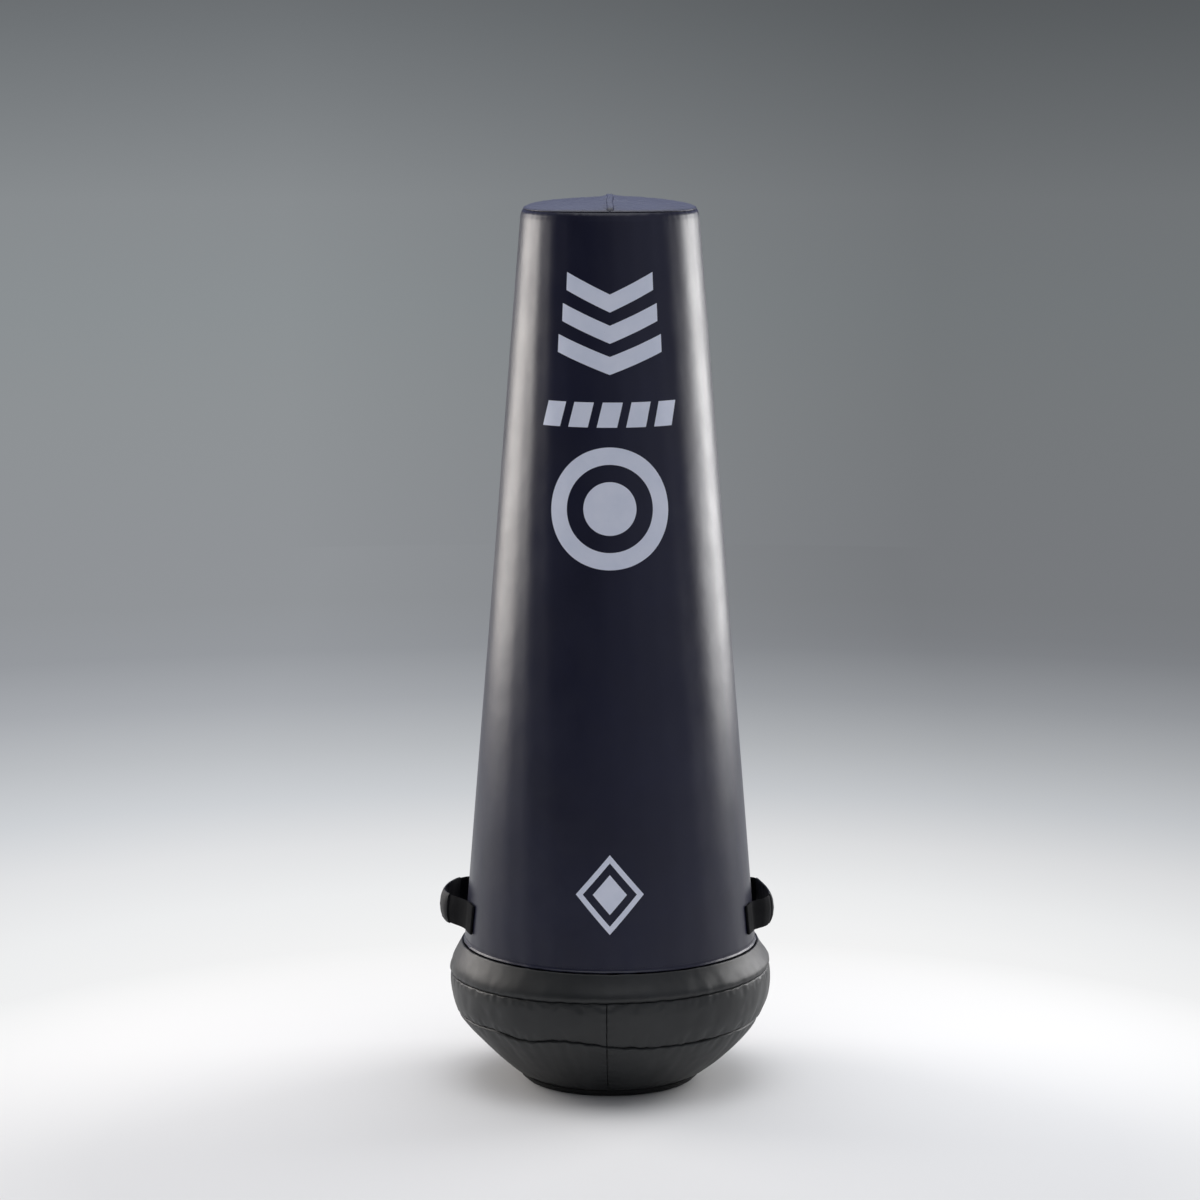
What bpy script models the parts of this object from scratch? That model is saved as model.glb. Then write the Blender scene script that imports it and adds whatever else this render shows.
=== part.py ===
"""Free-standing tackling bag that rights itself on a weighted, rounded base.

Metres, +Z up. The origin is the centre of the foot on the floor, the front
faces -Y and +X is on the right of someone looking at the front.
"""

import math

import bmesh
import bpy
from mathutils import Matrix, Vector

# Overall sizes: height of the rim, radii of the cone, height where the cone meets the base
rim_height = 1.524
cone_top_radius = 0.1508
cone_foot_radius = 0.2535
hem_height = 0.243

# Clearances shared by all the pieces
seat_gap = 0.0003
seam_gap = 0.001
cut_overrun = 0.01
weld_distance = 0.00001

# Facets round a turned piece, and the share of its radius at the middle of a facet
cover_steps = 48
ballast_steps = 32
post_steps = 24
small_steps = 16
nut_sides = 6
rounding_steps = 2
flat_share = math.cos(math.pi / cover_steps)
half_facet = math.pi / cover_steps

# Cone cover and its top
cover_thickness = 0.0015
rim_edge_radius = 0.006
rim_seam_angle = math.radians(45)
crown_rise = 0.006
crown_bulge_share = 0.25
crown_steps = 3
edge_steps = 2
top_seam_height = 0.0065
top_seam_width = 0.013
top_seam_rounding = 0.002
top_seam_taper_share = 0.7
top_pad_thickness = 0.055

# Base cover, whose rows of panels bulge between their seams
base_skin_thickness = 0.002
ledge_width = 0.011
ledge_fold_radius = 0.006
lip_width = 0.03
shoulder_overhang = 0.026
shoulder_seam_height = 0.198
shoulder_bulge = 0.0012
mid_seam_inset = 0.0175
mid_seam_height = 0.115
upper_row_bulge = 0.005
lower_row_bulge = 0.0057
shoulder_steps = 2
row_steps = 4
fold_steps = 2

# Foot disc
foot_thickness = 0.012
foot_top_radius = 0.157
foot_flare = 0.0085
foot_edge_radius = 0.002

# Ballast plates, and the foam under and round them
ballast_count = 3
ballast_radius = 0.135
ballast_thickness = 0.02
ballast_chamfer = 0.0015
ballast_clearance = 0.001
ballast_floor_foam = 0.0155

# Post flange, post and cap
flange_radius = 0.075
flange_thickness = 0.008
post_radius = 0.03
post_wall = 0.005
socket_wall = 0.0047
socket_depth = 0.06
post_cap_thickness = 0.004
post_spigot_length = 0.02
post_cover_depth = 0.27
sleeve_thickness = 0.04

# Ballast bolts, the post bolt and their nuts
bolt_count = 4
bolt_radius = 0.005
bolt_head_radius = 0.0095
bolt_head_thickness = 0.004
bolt_clearance = 0.0004
nut_radius = 0.0098
nut_thickness = 0.008
bolt_point = 0.003
post_bolt_radius = 0.004
post_bolt_head_radius = 0.0075
post_bolt_head_thickness = 0.004
post_bolt_rise_share = 0.6
deck_clearance = 0.003

# Webbing handles
handle_lift = 0.0555
handle_bearing = math.radians(10.5)
handle_reach = 0.038
handle_half_span = 0.1
tab_length = 0.0266
web_width = 0.0508
web_thickness = 0.0025
web_lift_angle = math.radians(46)
web_leg_steps = 8
web_curl_share = 0.35
tab_steps = 5
tab_rows = 2
depth_rounds = 16
grip_length = 0.11
grip_width = 0.054
grip_thickness = 0.0065
grip_rounding = 0.0022

# Rear zip: how far it starts above the hem, its length and its cross section
zip_lift = 0.055
zip_length = 0.8
zip_slot_width = 0.0144
zip_slot_margin = 0.008
zip_tape_edge = 0.0115
zip_tape_depth = 0.0023
zip_tape_thickness = 0.0008
zip_chain_gap = 0.0014
zip_chain_width = 0.0026
zip_chain_depth = 0.0004
zip_chain_thickness = 0.003
zip_stop_width = 0.0084
zip_stop_length = 0.004
zip_stop_thickness = 0.0013
zip_stop_rounding = 0.0004
zip_groove_clearance = 0.001
slider_width = 0.01
slider_length = 0.014
slider_plate_thickness = 0.0014
slider_base_thickness = 0.001
slider_neck_width = 0.0008
bail_width = 0.002
bail_wall = 0.0009
bail_bore_radius = 0.0013
bail_sink_share = 0.25
pull_length = 0.034
pull_bar_width = 0.0016
pull_thickness = 0.0012
pull_top_width = 0.009
pull_end_width = 0.012
pull_window_width = 0.0036
pull_window_length = 0.0065
pull_tip_steps = 6

# Sizes that follow from those above
cone_slope = (cone_foot_radius - cone_top_radius) / (rim_height - hem_height)
cone_lean = math.atan(cone_slope)
base_radius = cone_foot_radius + shoulder_overhang
foot_radius = foot_top_radius - foot_flare
mid_seam_radius = base_radius - mid_seam_inset
lip_height = hem_height - seat_gap
skin_offset = base_skin_thickness + seat_gap
cover_offset = cover_thickness + seat_gap
deck_top = lip_height - skin_offset
bowl_bottom = foot_thickness + seat_gap + skin_offset
cavity_floor = bowl_bottom + ballast_floor_foam
cavity_radius = ballast_radius + ballast_clearance
ballast_bottom = cavity_floor + seat_gap
ballast_pitch = ballast_thickness + seat_gap
flange_bottom = ballast_bottom + ballast_count * ballast_pitch
flange_top = flange_bottom + flange_thickness
socket_bore_radius = post_radius + seat_gap
socket_radius = socket_bore_radius + socket_wall
socket_top = flange_top + socket_depth
post_top = rim_height - post_cover_depth
core_top = post_top + seat_gap + post_cap_thickness
sleeve_radius = post_radius + seat_gap + sleeve_thickness
bolt_circle_radius = (socket_radius + flange_radius) / 2
bolt_end = flange_top + seat_gap + nut_thickness + bolt_point
pad_bottom = rim_height - top_pad_thickness
post_bolt_height = flange_top + socket_depth * post_bolt_rise_share


def clear_scene():
    """Remove every object that the file starts with."""
    for obj in list(bpy.data.objects):
        bpy.data.objects.remove(obj, do_unlink=True)


def new_collection(name):
    """A collection linked to the scene."""
    collection = bpy.data.collections.new(name)
    bpy.context.scene.collection.children.link(collection)
    return collection


def linear(channel):
    """One sRGB channel, 0 to 255, as a linear value."""
    value = channel / 255
    return value / 12.92 if value <= 0.04045 else ((value + 0.055) / 1.055) ** 2.4


def new_material(name, srgb, roughness, metallic=0.0):
    """A Principled material of one sRGB colour."""
    material = bpy.data.materials.new(name)
    material.use_nodes = True
    shader = material.node_tree.nodes["Principled BSDF"]
    shader.inputs["Base Color"].default_value = [linear(c) for c in srgb] + [1.0]
    shader.inputs["Roughness"].default_value = roughness
    shader.inputs["Metallic"].default_value = metallic
    return material


clear_scene()
bag = new_collection("tackling_bag")
cutters = new_collection("cutters")

navy_vinyl = new_material("navy_vinyl", (30, 31, 48), 0.38)
black_vinyl = new_material("black_vinyl", (42, 45, 47), 0.42)
foot_rubber = new_material("foot_rubber", (20, 20, 21), 0.7)
webbing = new_material("webbing", (14, 14, 16), 0.75)
grip_vinyl = new_material("grip_vinyl", (34, 36, 40), 0.5)
zip_fabric = new_material("zip_fabric", (22, 23, 34), 0.85)
zip_plastic = new_material("zip_plastic", (18, 18, 20), 0.45)
zip_metal = new_material("zip_metal", (150, 151, 153), 0.35, 1.0)
foam = new_material("foam", (214, 210, 196), 0.9)
core_foam = new_material("core_foam", (70, 72, 76), 0.9)
ballast_steel = new_material("ballast_steel", (92, 94, 98), 0.55, 0.8)
post_plastic = new_material("post_plastic", (198, 200, 200), 0.5)
fastener_steel = new_material("fastener_steel", (168, 170, 172), 0.35, 1.0)


def finish(obj, material, collection=None):
    """Link a new object and give it its material."""
    (collection or bag).objects.link(obj)
    obj.data.materials.clear()
    obj.data.materials.append(material)
    return obj


def cone_radius(height):
    """Outer radius of the cone cover at a height, at the corners of its facets."""
    return cone_top_radius + cone_slope * (rim_height - height)


def arc_row(top, bottom, bulge, steps):
    """Points down an arc from top to bottom in (radius, height), bulging outward."""
    top, bottom = Vector(top), Vector(bottom)
    along = (bottom - top).normalized()
    outward = Vector((-along.y, along.x))
    half_chord = (bottom - top).length / 2
    radius = (half_chord**2 + bulge**2) / (2 * bulge)
    centre = (top + bottom) / 2 - outward * (radius - bulge)
    half_angle = math.asin(half_chord / radius)
    angles = [half_angle * (2 * i / steps - 1) for i in range(steps + 1)]
    return [centre + radius * (outward * math.cos(a) + along * math.sin(a)) for a in angles]


def corner(centre, radius, start, end, steps):
    """Points round part of a circle in (radius, height), from angle start to end."""
    angles = [start + (end - start) * i / steps for i in range(steps + 1)]
    return [Vector(centre) + radius * Vector((math.cos(a), math.sin(a))) for a in angles]


def offset_row(points, distance):
    """An open outline moved sideways to its inner side, with mitred corners."""
    moved = []
    for i, point in enumerate(points):
        before = (point - points[max(i - 1, 0)]).normalized()
        after = (points[min(i + 1, len(points) - 1)] - point).normalized()
        before = before if i > 0 else after
        after = after if i < len(points) - 1 else before
        normal_before = Vector((before.y, -before.x))
        normal_after = Vector((after.y, -after.x))
        mitre = (normal_before + normal_after).normalized()
        moved.append(point + mitre * distance / mitre.dot(normal_before))
    return moved


def trimmed(points, start_trim, end_trim):
    """An open outline shortened a little at its first and last segment."""
    first = points[0] + (points[1] - points[0]).normalized() * start_trim
    last = points[-1] + (points[-2] - points[-1]).normalized() * end_trim
    return [first] + list(points[1:-1]) + [last]


def turned(name, outline, material, closed=True, skin=0.0, steps=cover_steps, turn=0.0, axis=None):
    """A turned piece. Its outline runs down its outer side, and if closed back up the inner one.

    An open outline is the outer surface of a skin, which is thickened inward. The turn rotates
    the facets about the axis, and axis is a matrix for a piece that isn't upright at the origin.
    """
    points = [Vector(p) for p in outline]
    mesh = bpy.data.meshes.new(name)
    links = [(i, i + 1) for i in range(len(points) - 1)]
    ends_on_axis = points[0].x == 0 and points[-1].x == 0
    if closed and not ends_on_axis:
        links.append((len(points) - 1, 0))
    mesh.from_pydata([(p.x, 0, p.y) for p in points], links, [])
    obj = finish(bpy.data.objects.new(name, mesh), material)
    obj.matrix_world = (axis or Matrix.Identity(4)) @ Matrix.Rotation(turn, 4, "Z")
    screw = obj.modifiers.new("turn", "SCREW")
    screw.angle = math.tau
    screw.steps = steps
    screw.render_steps = steps
    screw.use_merge_vertices = True
    screw.merge_threshold = weld_distance
    screw.use_smooth_shade = True
    if skin:
        thicken(obj, skin, -1)
    return obj


def thicken(obj, thickness, side):
    """Give an open surface its thickness, inward for side -1 and outward for side 1."""
    solidify = obj.modifiers.new("thickness", "SOLIDIFY")
    solidify.thickness = thickness
    solidify.offset = side
    solidify.use_even_offset = True


def as_mesh(obj):
    """Swap an object for one that holds its evaluated mesh, welded."""
    evaluated = obj.evaluated_get(bpy.context.evaluated_depsgraph_get())
    mesh = bpy.data.meshes.new_from_object(evaluated)
    name, place = obj.name, obj.matrix_world.copy()
    collection = obj.users_collection[0]
    bpy.data.objects.remove(obj, do_unlink=True)
    edit = bmesh.new()
    edit.from_mesh(mesh)
    bmesh.ops.remove_doubles(edit, verts=edit.verts, dist=weld_distance)
    edit.to_mesh(mesh)
    edit.free()
    welded = bpy.data.objects.new(name, mesh)
    collection.objects.link(welded)
    welded.matrix_world = place
    return welded


def plate(name, outline, thickness, place, material, holes=()):
    """A flat outline in its own XY plane, thickened equally to both sides along its Z."""
    curve = bpy.data.curves.new(name, "CURVE")
    curve.dimensions = "2D"
    curve.fill_mode = "BOTH"
    curve.extrude = thickness / 2
    for ring in [outline, *holes]:
        spline = curve.splines.new("POLY")
        spline.points.add(len(ring) - 1)
        for point, (x, y) in zip(spline.points, ring):
            point.co = (x, y, 0, 1)
        spline.use_cyclic_u = True
    obj = finish(bpy.data.objects.new(name, curve), material)
    obj.matrix_world = place
    bpy.context.view_layer.update()
    return as_mesh(obj)


box_faces = [(0, 1, 3, 2), (4, 6, 7, 5), (0, 4, 5, 1), (2, 3, 7, 6), (0, 2, 6, 4), (1, 5, 7, 3)]


def block(name, low, high, place, material, rounding=0.0, collection=None):
    """A box between two corners in the frame of a matrix, with rounded edges if asked."""
    spans = list(zip(low, high))
    corners = [(x, y, z) for x in spans[0] for y in spans[1] for z in spans[2]]
    mesh = bpy.data.meshes.new(name)
    mesh.from_pydata(corners, [], box_faces)
    obj = finish(bpy.data.objects.new(name, mesh), material, collection)
    obj.matrix_world = place
    if rounding:
        round_edges(obj, rounding)
    return obj


def round_edges(obj, rounding):
    """Round the sharp edges of a piece."""
    bevel = obj.modifiers.new("rounding", "BEVEL")
    bevel.width = rounding
    bevel.segments = rounding_steps
    bevel.limit_method = "ANGLE"


def rod_cutter(name, radius, length, place, steps=small_steps):
    """A round cutter along its own Z, centred on the matrix."""
    mesh = bpy.data.meshes.new(name)
    edit = bmesh.new()
    bmesh.ops.create_cone(
        edit, cap_ends=True, segments=steps, radius1=radius, radius2=radius, depth=length
    )
    edit.to_mesh(mesh)
    edit.free()
    obj = bpy.data.objects.new(name, mesh)
    cutters.objects.link(obj)
    obj.matrix_world = place
    return as_cutter(obj)


def as_cutter(obj):
    """Mark a helper that only cuts or joins others."""
    obj.hide_render = True
    obj.display_type = "WIRE"
    return obj


def boolean(obj, tool, operation="DIFFERENCE"):
    """Cut a piece with a cutter, or join the cutter to it."""
    cut = obj.modifiers.new(tool.name, "BOOLEAN")
    cut.operation = operation
    cut.solver = "EXACT"
    cut.object = tool


def half_cutter(name, side):
    """A box over the half of the bag that a panel on the other side of the centre doesn't fill."""
    reach = base_radius + cut_overrun
    edge = side * seam_gap / 2
    far = -side * reach
    low = (min(edge, far), -reach, -cut_overrun)
    high = (max(edge, far), reach, rim_height + crown_rise + cut_overrun)
    return as_cutter(block(name, low, high, Matrix.Identity(4), black_vinyl, 0.0, cutters))


keep_right = half_cutter("keep_right", 1)
keep_left = half_cutter("keep_left", -1)
halves = (("left", keep_left), ("right", keep_right))

# Outlines of the base cover, from the lip under the hem down to the foot
shoulder_seam = Vector((base_radius, shoulder_seam_height))
mid_seam = Vector((mid_seam_radius, mid_seam_height))
foot_seam = Vector((foot_top_radius, foot_thickness + seat_gap))
crest_radius = cone_foot_radius + ledge_width
fold_centre = Vector((crest_radius - ledge_fold_radius, lip_height - ledge_fold_radius))
shoulder_run = (shoulder_seam - fold_centre).normalized()
fold_end_angle = math.atan2(shoulder_run.x, -shoulder_run.y)
fold_row = corner(fold_centre, ledge_fold_radius, math.pi / 2, fold_end_angle, fold_steps)
shoulder_row = arc_row(fold_row[-1], shoulder_seam, shoulder_bulge, shoulder_steps)
upper_row = arc_row(shoulder_seam, mid_seam, upper_row_bulge, row_steps)
lower_row = arc_row(mid_seam, foot_seam, lower_row_bulge, row_steps)


def make_base_cover():
    """Shoulder band, the two rows of half panels and the bottom panel, all of black vinyl."""
    lip_start = Vector((cone_foot_radius - lip_width, lip_height))
    band = trimmed([lip_start] + fold_row[:-1] + shoulder_row, 0, seam_gap / 2)
    turned("shoulder_band", band, black_vinyl, False, base_skin_thickness)
    rows = (("upper", trimmed(upper_row, seam_gap / 2, seam_gap / 2)),
            ("lower", trimmed(lower_row, seam_gap / 2, 0)))
    for row_name, row in rows:
        for side_name, tool in halves:
            name = f"base_{row_name}_panel_{side_name}"
            panel = turned(name, row, black_vinyl, False, base_skin_thickness)
            boolean(panel, tool)
    panel_radius = foot_top_radius - skin_offset
    panel_bottom = foot_thickness + seat_gap
    panel_top = panel_bottom + base_skin_thickness
    bottom = [(0, panel_top), (panel_radius, panel_top), (panel_radius, panel_bottom), (0, panel_bottom)]
    turned("base_bottom_panel", bottom, black_vinyl)


def make_foot():
    """The rubber disc that the bag stands on, flared to the base cover above it."""
    centre = (foot_radius - foot_edge_radius, foot_edge_radius)
    edge = corner(centre, foot_edge_radius, 0, -math.pi / 2, edge_steps)
    outline = [(0, foot_thickness), (foot_top_radius, foot_thickness)] + edge + [(0, 0)]
    turned("foot_disc", outline, foot_rubber)


def make_base_foam():
    """The foam bowl inside the base cover and the deck that closes it over the ballast."""
    inner_lip = Vector((cavity_radius, lip_height))
    outer = [inner_lip] + fold_row[:-1] + shoulder_row[:-1] + upper_row[:-1] + lower_row
    wall = offset_row(outer, skin_offset)
    above, end = wall[-2], wall[-1]
    cut_share = (above.y - bowl_bottom) / (above.y - end.y)
    wall[-1] = above.lerp(end, cut_share)
    bowl = [(0, cavity_floor), (cavity_radius, cavity_floor)] + wall + [(0, bowl_bottom)]
    turned("base_foam_bowl", bowl, foam)

    deck_radius = cavity_radius - seat_gap
    deck_bottom = flange_bottom
    bore = sleeve_radius + seat_gap
    recess_radius = max(flange_radius, bore) + deck_clearance
    recess_top = bolt_end + deck_clearance
    deck = [
        (bore, deck_top),
        (deck_radius, deck_top),
        (deck_radius, deck_bottom),
        (recess_radius, deck_bottom),
        (recess_radius, recess_top),
        (bore, recess_top),
    ]
    turned("base_foam_deck", deck, foam)


def bolt_places():
    """Where the ballast bolts stand, evenly round their circle."""
    angles = [math.tau * (i + 1 / 2) / bolt_count for i in range(bolt_count)]
    return [Vector((math.cos(a), math.sin(a), 0)) * bolt_circle_radius for a in angles]


def make_ballast():
    """Steel plates low in the base, drilled for the bolts, the lowest also for their heads."""
    holes = []
    for i, place in enumerate(bolt_places()):
        at = Matrix.Translation(place + Vector((0, 0, (ballast_bottom + flange_top) / 2)))
        length = flange_top - ballast_bottom + 2 * cut_overrun
        holes.append(rod_cutter(f"bolt_hole_{i + 1}", bolt_radius + bolt_clearance, length, at))
    sinks = []
    sink_depth = bolt_head_thickness + 2 * seat_gap
    for i, place in enumerate(bolt_places()):
        middle = ballast_bottom + (sink_depth - cut_overrun) / 2
        at = Matrix.Translation(place + Vector((0, 0, middle)))
        radius = bolt_head_radius + bolt_clearance
        sinks.append(rod_cutter(f"bolt_sink_{i + 1}", radius, sink_depth + cut_overrun, at))

    for i in range(ballast_count):
        low = ballast_bottom + i * ballast_pitch
        high = low + ballast_thickness
        inner = ballast_radius - ballast_chamfer
        outline = [
            (0, high),
            (inner, high),
            (ballast_radius, high - ballast_chamfer),
            (ballast_radius, low + ballast_chamfer),
            (inner, low),
            (0, low),
        ]
        disc = turned(f"ballast_plate_{i + 1}", outline, ballast_steel, steps=ballast_steps)
        for hole in holes:
            boolean(disc, hole)
        if i == 0:
            for sink in sinks:
                boolean(disc, sink)
    return holes


def make_flange(holes):
    """The flange that clamps the ballast, with the socket that holds the post."""
    outline = [
        (0, flange_top),
        (socket_bore_radius, flange_top),
        (socket_bore_radius, socket_top),
        (socket_radius, socket_top),
        (socket_radius, flange_top),
        (flange_radius, flange_top),
        (flange_radius, flange_bottom),
        (0, flange_bottom),
    ]
    flange = turned("post_flange", outline, ballast_steel, steps=post_steps)
    for hole in holes:
        boolean(flange, hole)
    return flange


def nut_mesh(name, radius, bore, thickness):
    """A hexagon nut along Z with its seat at zero."""
    at = Matrix.Translation((0, 0, thickness / 2))
    hexagon = rod_cutter(name, radius, thickness, at, nut_sides)
    boolean(hexagon, rod_cutter(name + "_bore", bore, thickness + cut_overrun, at))
    bpy.context.view_layer.update()
    evaluated = hexagon.evaluated_get(bpy.context.evaluated_depsgraph_get())
    mesh = bpy.data.meshes.new_from_object(evaluated)
    mesh.transform(at)
    bpy.data.objects.remove(hexagon, do_unlink=True)
    bpy.data.objects.remove(bpy.data.objects[name + "_bore"], do_unlink=True)
    mesh.materials.append(fastener_steel)
    return mesh


def make_ballast_bolts():
    """Carriage bolts from the lowest plate up through the flange, each with its nut."""
    mesh = nut_mesh("nut", nut_radius, bolt_radius + bolt_clearance, nut_thickness)
    head_bottom = ballast_bottom + seat_gap
    head_top = head_bottom + bolt_head_thickness
    outline = [
        (0, bolt_end),
        (bolt_radius, bolt_end),
        (bolt_radius, head_top),
        (bolt_head_radius, head_top),
        (bolt_head_radius, head_bottom),
        (0, head_bottom),
    ]
    for i, place in enumerate(bolt_places()):
        at = Matrix.Translation(place)
        name = f"ballast_bolt_{i + 1}"
        turned(name, outline, fastener_steel, steps=small_steps, axis=at)
        nut = bpy.data.objects.new(f"ballast_nut_{i + 1}", mesh)
        bag.objects.link(nut)
        nut.location = place + Vector((0, 0, flange_top + seat_gap))


def make_post(flange):
    """The core post in its socket, its cross bolt and nut, and its cap."""
    post_bottom = flange_top + seat_gap
    inner = post_radius - post_wall
    tube = [(inner, post_top), (post_radius, post_top), (post_radius, post_bottom), (inner, post_bottom)]
    post = turned("core_post", tube, post_plastic, steps=post_steps)

    across = Matrix.Translation((0, 0, post_bolt_height)) @ Matrix.Rotation(math.pi / 2, 4, "Y")
    bore_length = 2 * (socket_radius + cut_overrun)
    bore = rod_cutter("post_bolt_hole", post_bolt_radius + bolt_clearance, bore_length, across)
    boolean(post, bore)
    boolean(flange, bore)

    grip = socket_radius + seat_gap
    far = grip + nut_thickness + bolt_point
    head_far = -grip - post_bolt_head_thickness
    outline = [
        (0, far),
        (post_bolt_radius, far),
        (post_bolt_radius, -grip),
        (post_bolt_head_radius, -grip),
        (post_bolt_head_radius, head_far),
        (0, head_far),
    ]
    turned("post_bolt", outline, fastener_steel, steps=small_steps, axis=across)
    bore_radius = post_bolt_radius + bolt_clearance
    mesh = nut_mesh("post_nut_form", post_bolt_head_radius, bore_radius, nut_thickness)
    nut = bpy.data.objects.new("post_bolt_nut", mesh)
    bag.objects.link(nut)
    nut.matrix_world = across @ Matrix.Translation((0, 0, grip))

    cap_bottom = post_top + seat_gap
    spigot_radius = inner - seat_gap
    spigot_bottom = post_top - post_spigot_length
    cap = [
        (0, core_top),
        (post_radius, core_top),
        (post_radius, cap_bottom),
        (spigot_radius, cap_bottom),
        (spigot_radius, spigot_bottom),
        (0, spigot_bottom),
    ]
    turned("post_cap", cap, post_plastic, steps=post_steps)


# Outline of the cone cover and its top, from the middle of the crown outward and down
edge_centre = Vector((cone_top_radius - rim_edge_radius, rim_height - rim_edge_radius))
crown_start = Vector((0, rim_height + crown_rise))
crown_end = edge_centre + Vector((0, rim_edge_radius))
crown_row = arc_row(crown_start, crown_end, crown_rise * crown_bulge_share, crown_steps)
top_edge_row = corner(edge_centre, rim_edge_radius, math.pi / 2, rim_seam_angle, edge_steps)
side_edge_row = corner(edge_centre, rim_edge_radius, rim_seam_angle, cone_lean, edge_steps)
hem_point = Vector((cone_foot_radius, hem_height))


def make_top():
    """The two half discs of the top and the raised seam over the line where they meet."""
    row = trimmed(crown_row[:-1] + top_edge_row, 0, seam_gap / 2)
    for side_name, tool in halves:
        panel = turned(f"top_panel_{side_name}", row, navy_vinyl, False, cover_thickness)
        boolean(panel, tool)
    under = offset_row(crown_row, -seat_gap)
    over = offset_row(crown_row, -seat_gap - top_seam_height)
    over[-1] = over[-1] + (over[-2] - over[-1]).normalized() * top_seam_height * top_seam_taper_share
    outline = under[:0:-1] + [(0, under[0].y)] + [(-p.x, p.y) for p in under[1:]]
    outline += [(-p.x, p.y) for p in over[:0:-1]] + [(0, over[0].y)] + over[1:]
    upright = Matrix(((0, 0, 1, 0), (1, 0, 0, 0), (0, 1, 0, 0), (0, 0, 0, 1)))
    ridge = plate("top_seam", outline, top_seam_width, upright, navy_vinyl)
    round_edges(ridge, top_seam_rounding)


def rear_place(height):
    """Frame on the rear facet: X across, Y up the facet and Z straight out of it."""
    across = Vector((-1, 0, 0))
    up = Vector((0, -cone_slope * flat_share, 1)).normalized()
    out = across.cross(up)
    place = Matrix((across, up, out)).transposed().to_4x4()
    place.translation = (0, cone_radius(height) * flat_share, height)
    return place


zip_place = rear_place(hem_height + zip_lift)


def make_cover():
    """The cone cover, slotted down the rear for the zip."""
    row = trimmed(side_edge_row + [hem_point], seam_gap / 2, 0)
    cover = turned("cone_cover", row, navy_vinyl, False, cover_thickness, turn=half_facet)
    slot_low = (-zip_slot_width / 2, -zip_slot_margin, -cover_thickness - cut_overrun)
    slot_high = (zip_slot_width / 2, zip_length + zip_slot_margin, cut_overrun)
    slot = block("zip_slot", slot_low, slot_high, zip_place, navy_vinyl, 0.0, cutters)
    boolean(cover, as_cutter(slot))


def make_body_foam():
    """The foam cone with a blind bore for the core and grooves for the zip, and the top pad."""
    side = offset_row([side_edge_row[-1], hem_point], cover_offset)
    slope = (side[1].x - side[0].x) / (side[0].y - side[1].y)
    body_top = pad_bottom - seat_gap
    top_radius = side[0].x + slope * (side[0].y - body_top)
    bore = sleeve_radius + seat_gap
    bore_top = core_top + seat_gap
    outline = [
        (0, body_top),
        (top_radius, body_top),
        (side[1].x, hem_height),
        (bore, hem_height),
        (bore, bore_top),
        (0, bore_top),
    ]
    body = turned("body_foam", outline, foam, turn=half_facet)

    tape_floor = -zip_tape_depth - zip_tape_thickness - seat_gap
    tape_edge = zip_tape_edge + zip_groove_clearance
    tape_low = (-tape_edge, -zip_slot_margin, tape_floor)
    tape_high = (tape_edge, zip_length + zip_slot_margin, cut_overrun)
    tape_groove = block("tape_groove", tape_low, tape_high, zip_place, foam, 0.0, cutters)
    boolean(body, as_cutter(tape_groove))
    well_edge = slider_width / 2 + zip_groove_clearance
    well_low = (-well_edge, -zip_slot_margin, slider_bottom - zip_groove_clearance)
    well_high = (well_edge, zip_length + zip_slot_margin, tape_floor + cut_overrun)
    well = block("slider_well", well_low, well_high, zip_place, foam, 0.0, cutters)
    boolean(body, as_cutter(well))

    pad_row = offset_row(crown_row[:-1] + top_edge_row[:-1] + side_edge_row + [hem_point], cover_offset)
    edge = pad_row[-2]
    pad_side = edge.x + slope * (edge.y - pad_bottom)
    pad = [(0, pad_row[0].y)] + [(p.x * flat_share, p.y) for p in pad_row[1:-1]]
    pad += [(pad_side * flat_share, pad_bottom), (0, pad_bottom)]
    turned("top_foam_pad", pad, foam)

    bore_radius = post_radius + seat_gap
    sleeve_bottom = socket_top + seat_gap
    sleeve = [
        (bore_radius, core_top),
        (sleeve_radius, core_top),
        (sleeve_radius, sleeve_bottom),
        (bore_radius, sleeve_bottom),
    ]
    turned("core_foam_sleeve", sleeve, core_foam, turn=half_facet)


# Depths in the frame of the zip, measured out of the rear facet
chain_top = -zip_chain_depth
chain_bottom = chain_top - zip_chain_thickness
chain_outer = zip_chain_gap / 2 + zip_chain_width
tape_top = -zip_tape_depth
slider_under = chain_top + seat_gap
slider_top = slider_under + slider_plate_thickness
slider_bottom = chain_bottom - seat_gap - slider_base_thickness
slider_start = zip_stop_length + seat_gap
pull_axis_depth = slider_top + bail_bore_radius + seat_gap


def make_zip_tapes():
    """Two tapes under the edges of the slot, each with its chain, and the stops at both ends."""
    for side_name, side in (("left", 1), ("right", -1)):
        tape_inner = side * (chain_outer + seat_gap)
        tape_outer = side * zip_tape_edge
        low = (min(tape_inner, tape_outer), 0, tape_top - zip_tape_thickness)
        high = (max(tape_inner, tape_outer), zip_length, tape_top)
        block(f"zip_tape_{side_name}", low, high, zip_place, zip_fabric)
        chain_inner = side * zip_chain_gap / 2
        low = (min(chain_inner, side * chain_outer), 0, chain_bottom)
        high = (max(chain_inner, side * chain_outer), zip_length, chain_top)
        block(f"zip_chain_{side_name}", low, high, zip_place, zip_plastic)
    for stop_name, start in (("lower", 0), ("upper", zip_length - zip_stop_length)):
        low = (-zip_stop_width / 2, start, slider_under)
        high = (zip_stop_width / 2, start + zip_stop_length, slider_under + zip_stop_thickness)
        block(f"zip_stop_{stop_name}", low, high, zip_place, zip_metal, zip_stop_rounding)


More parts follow.
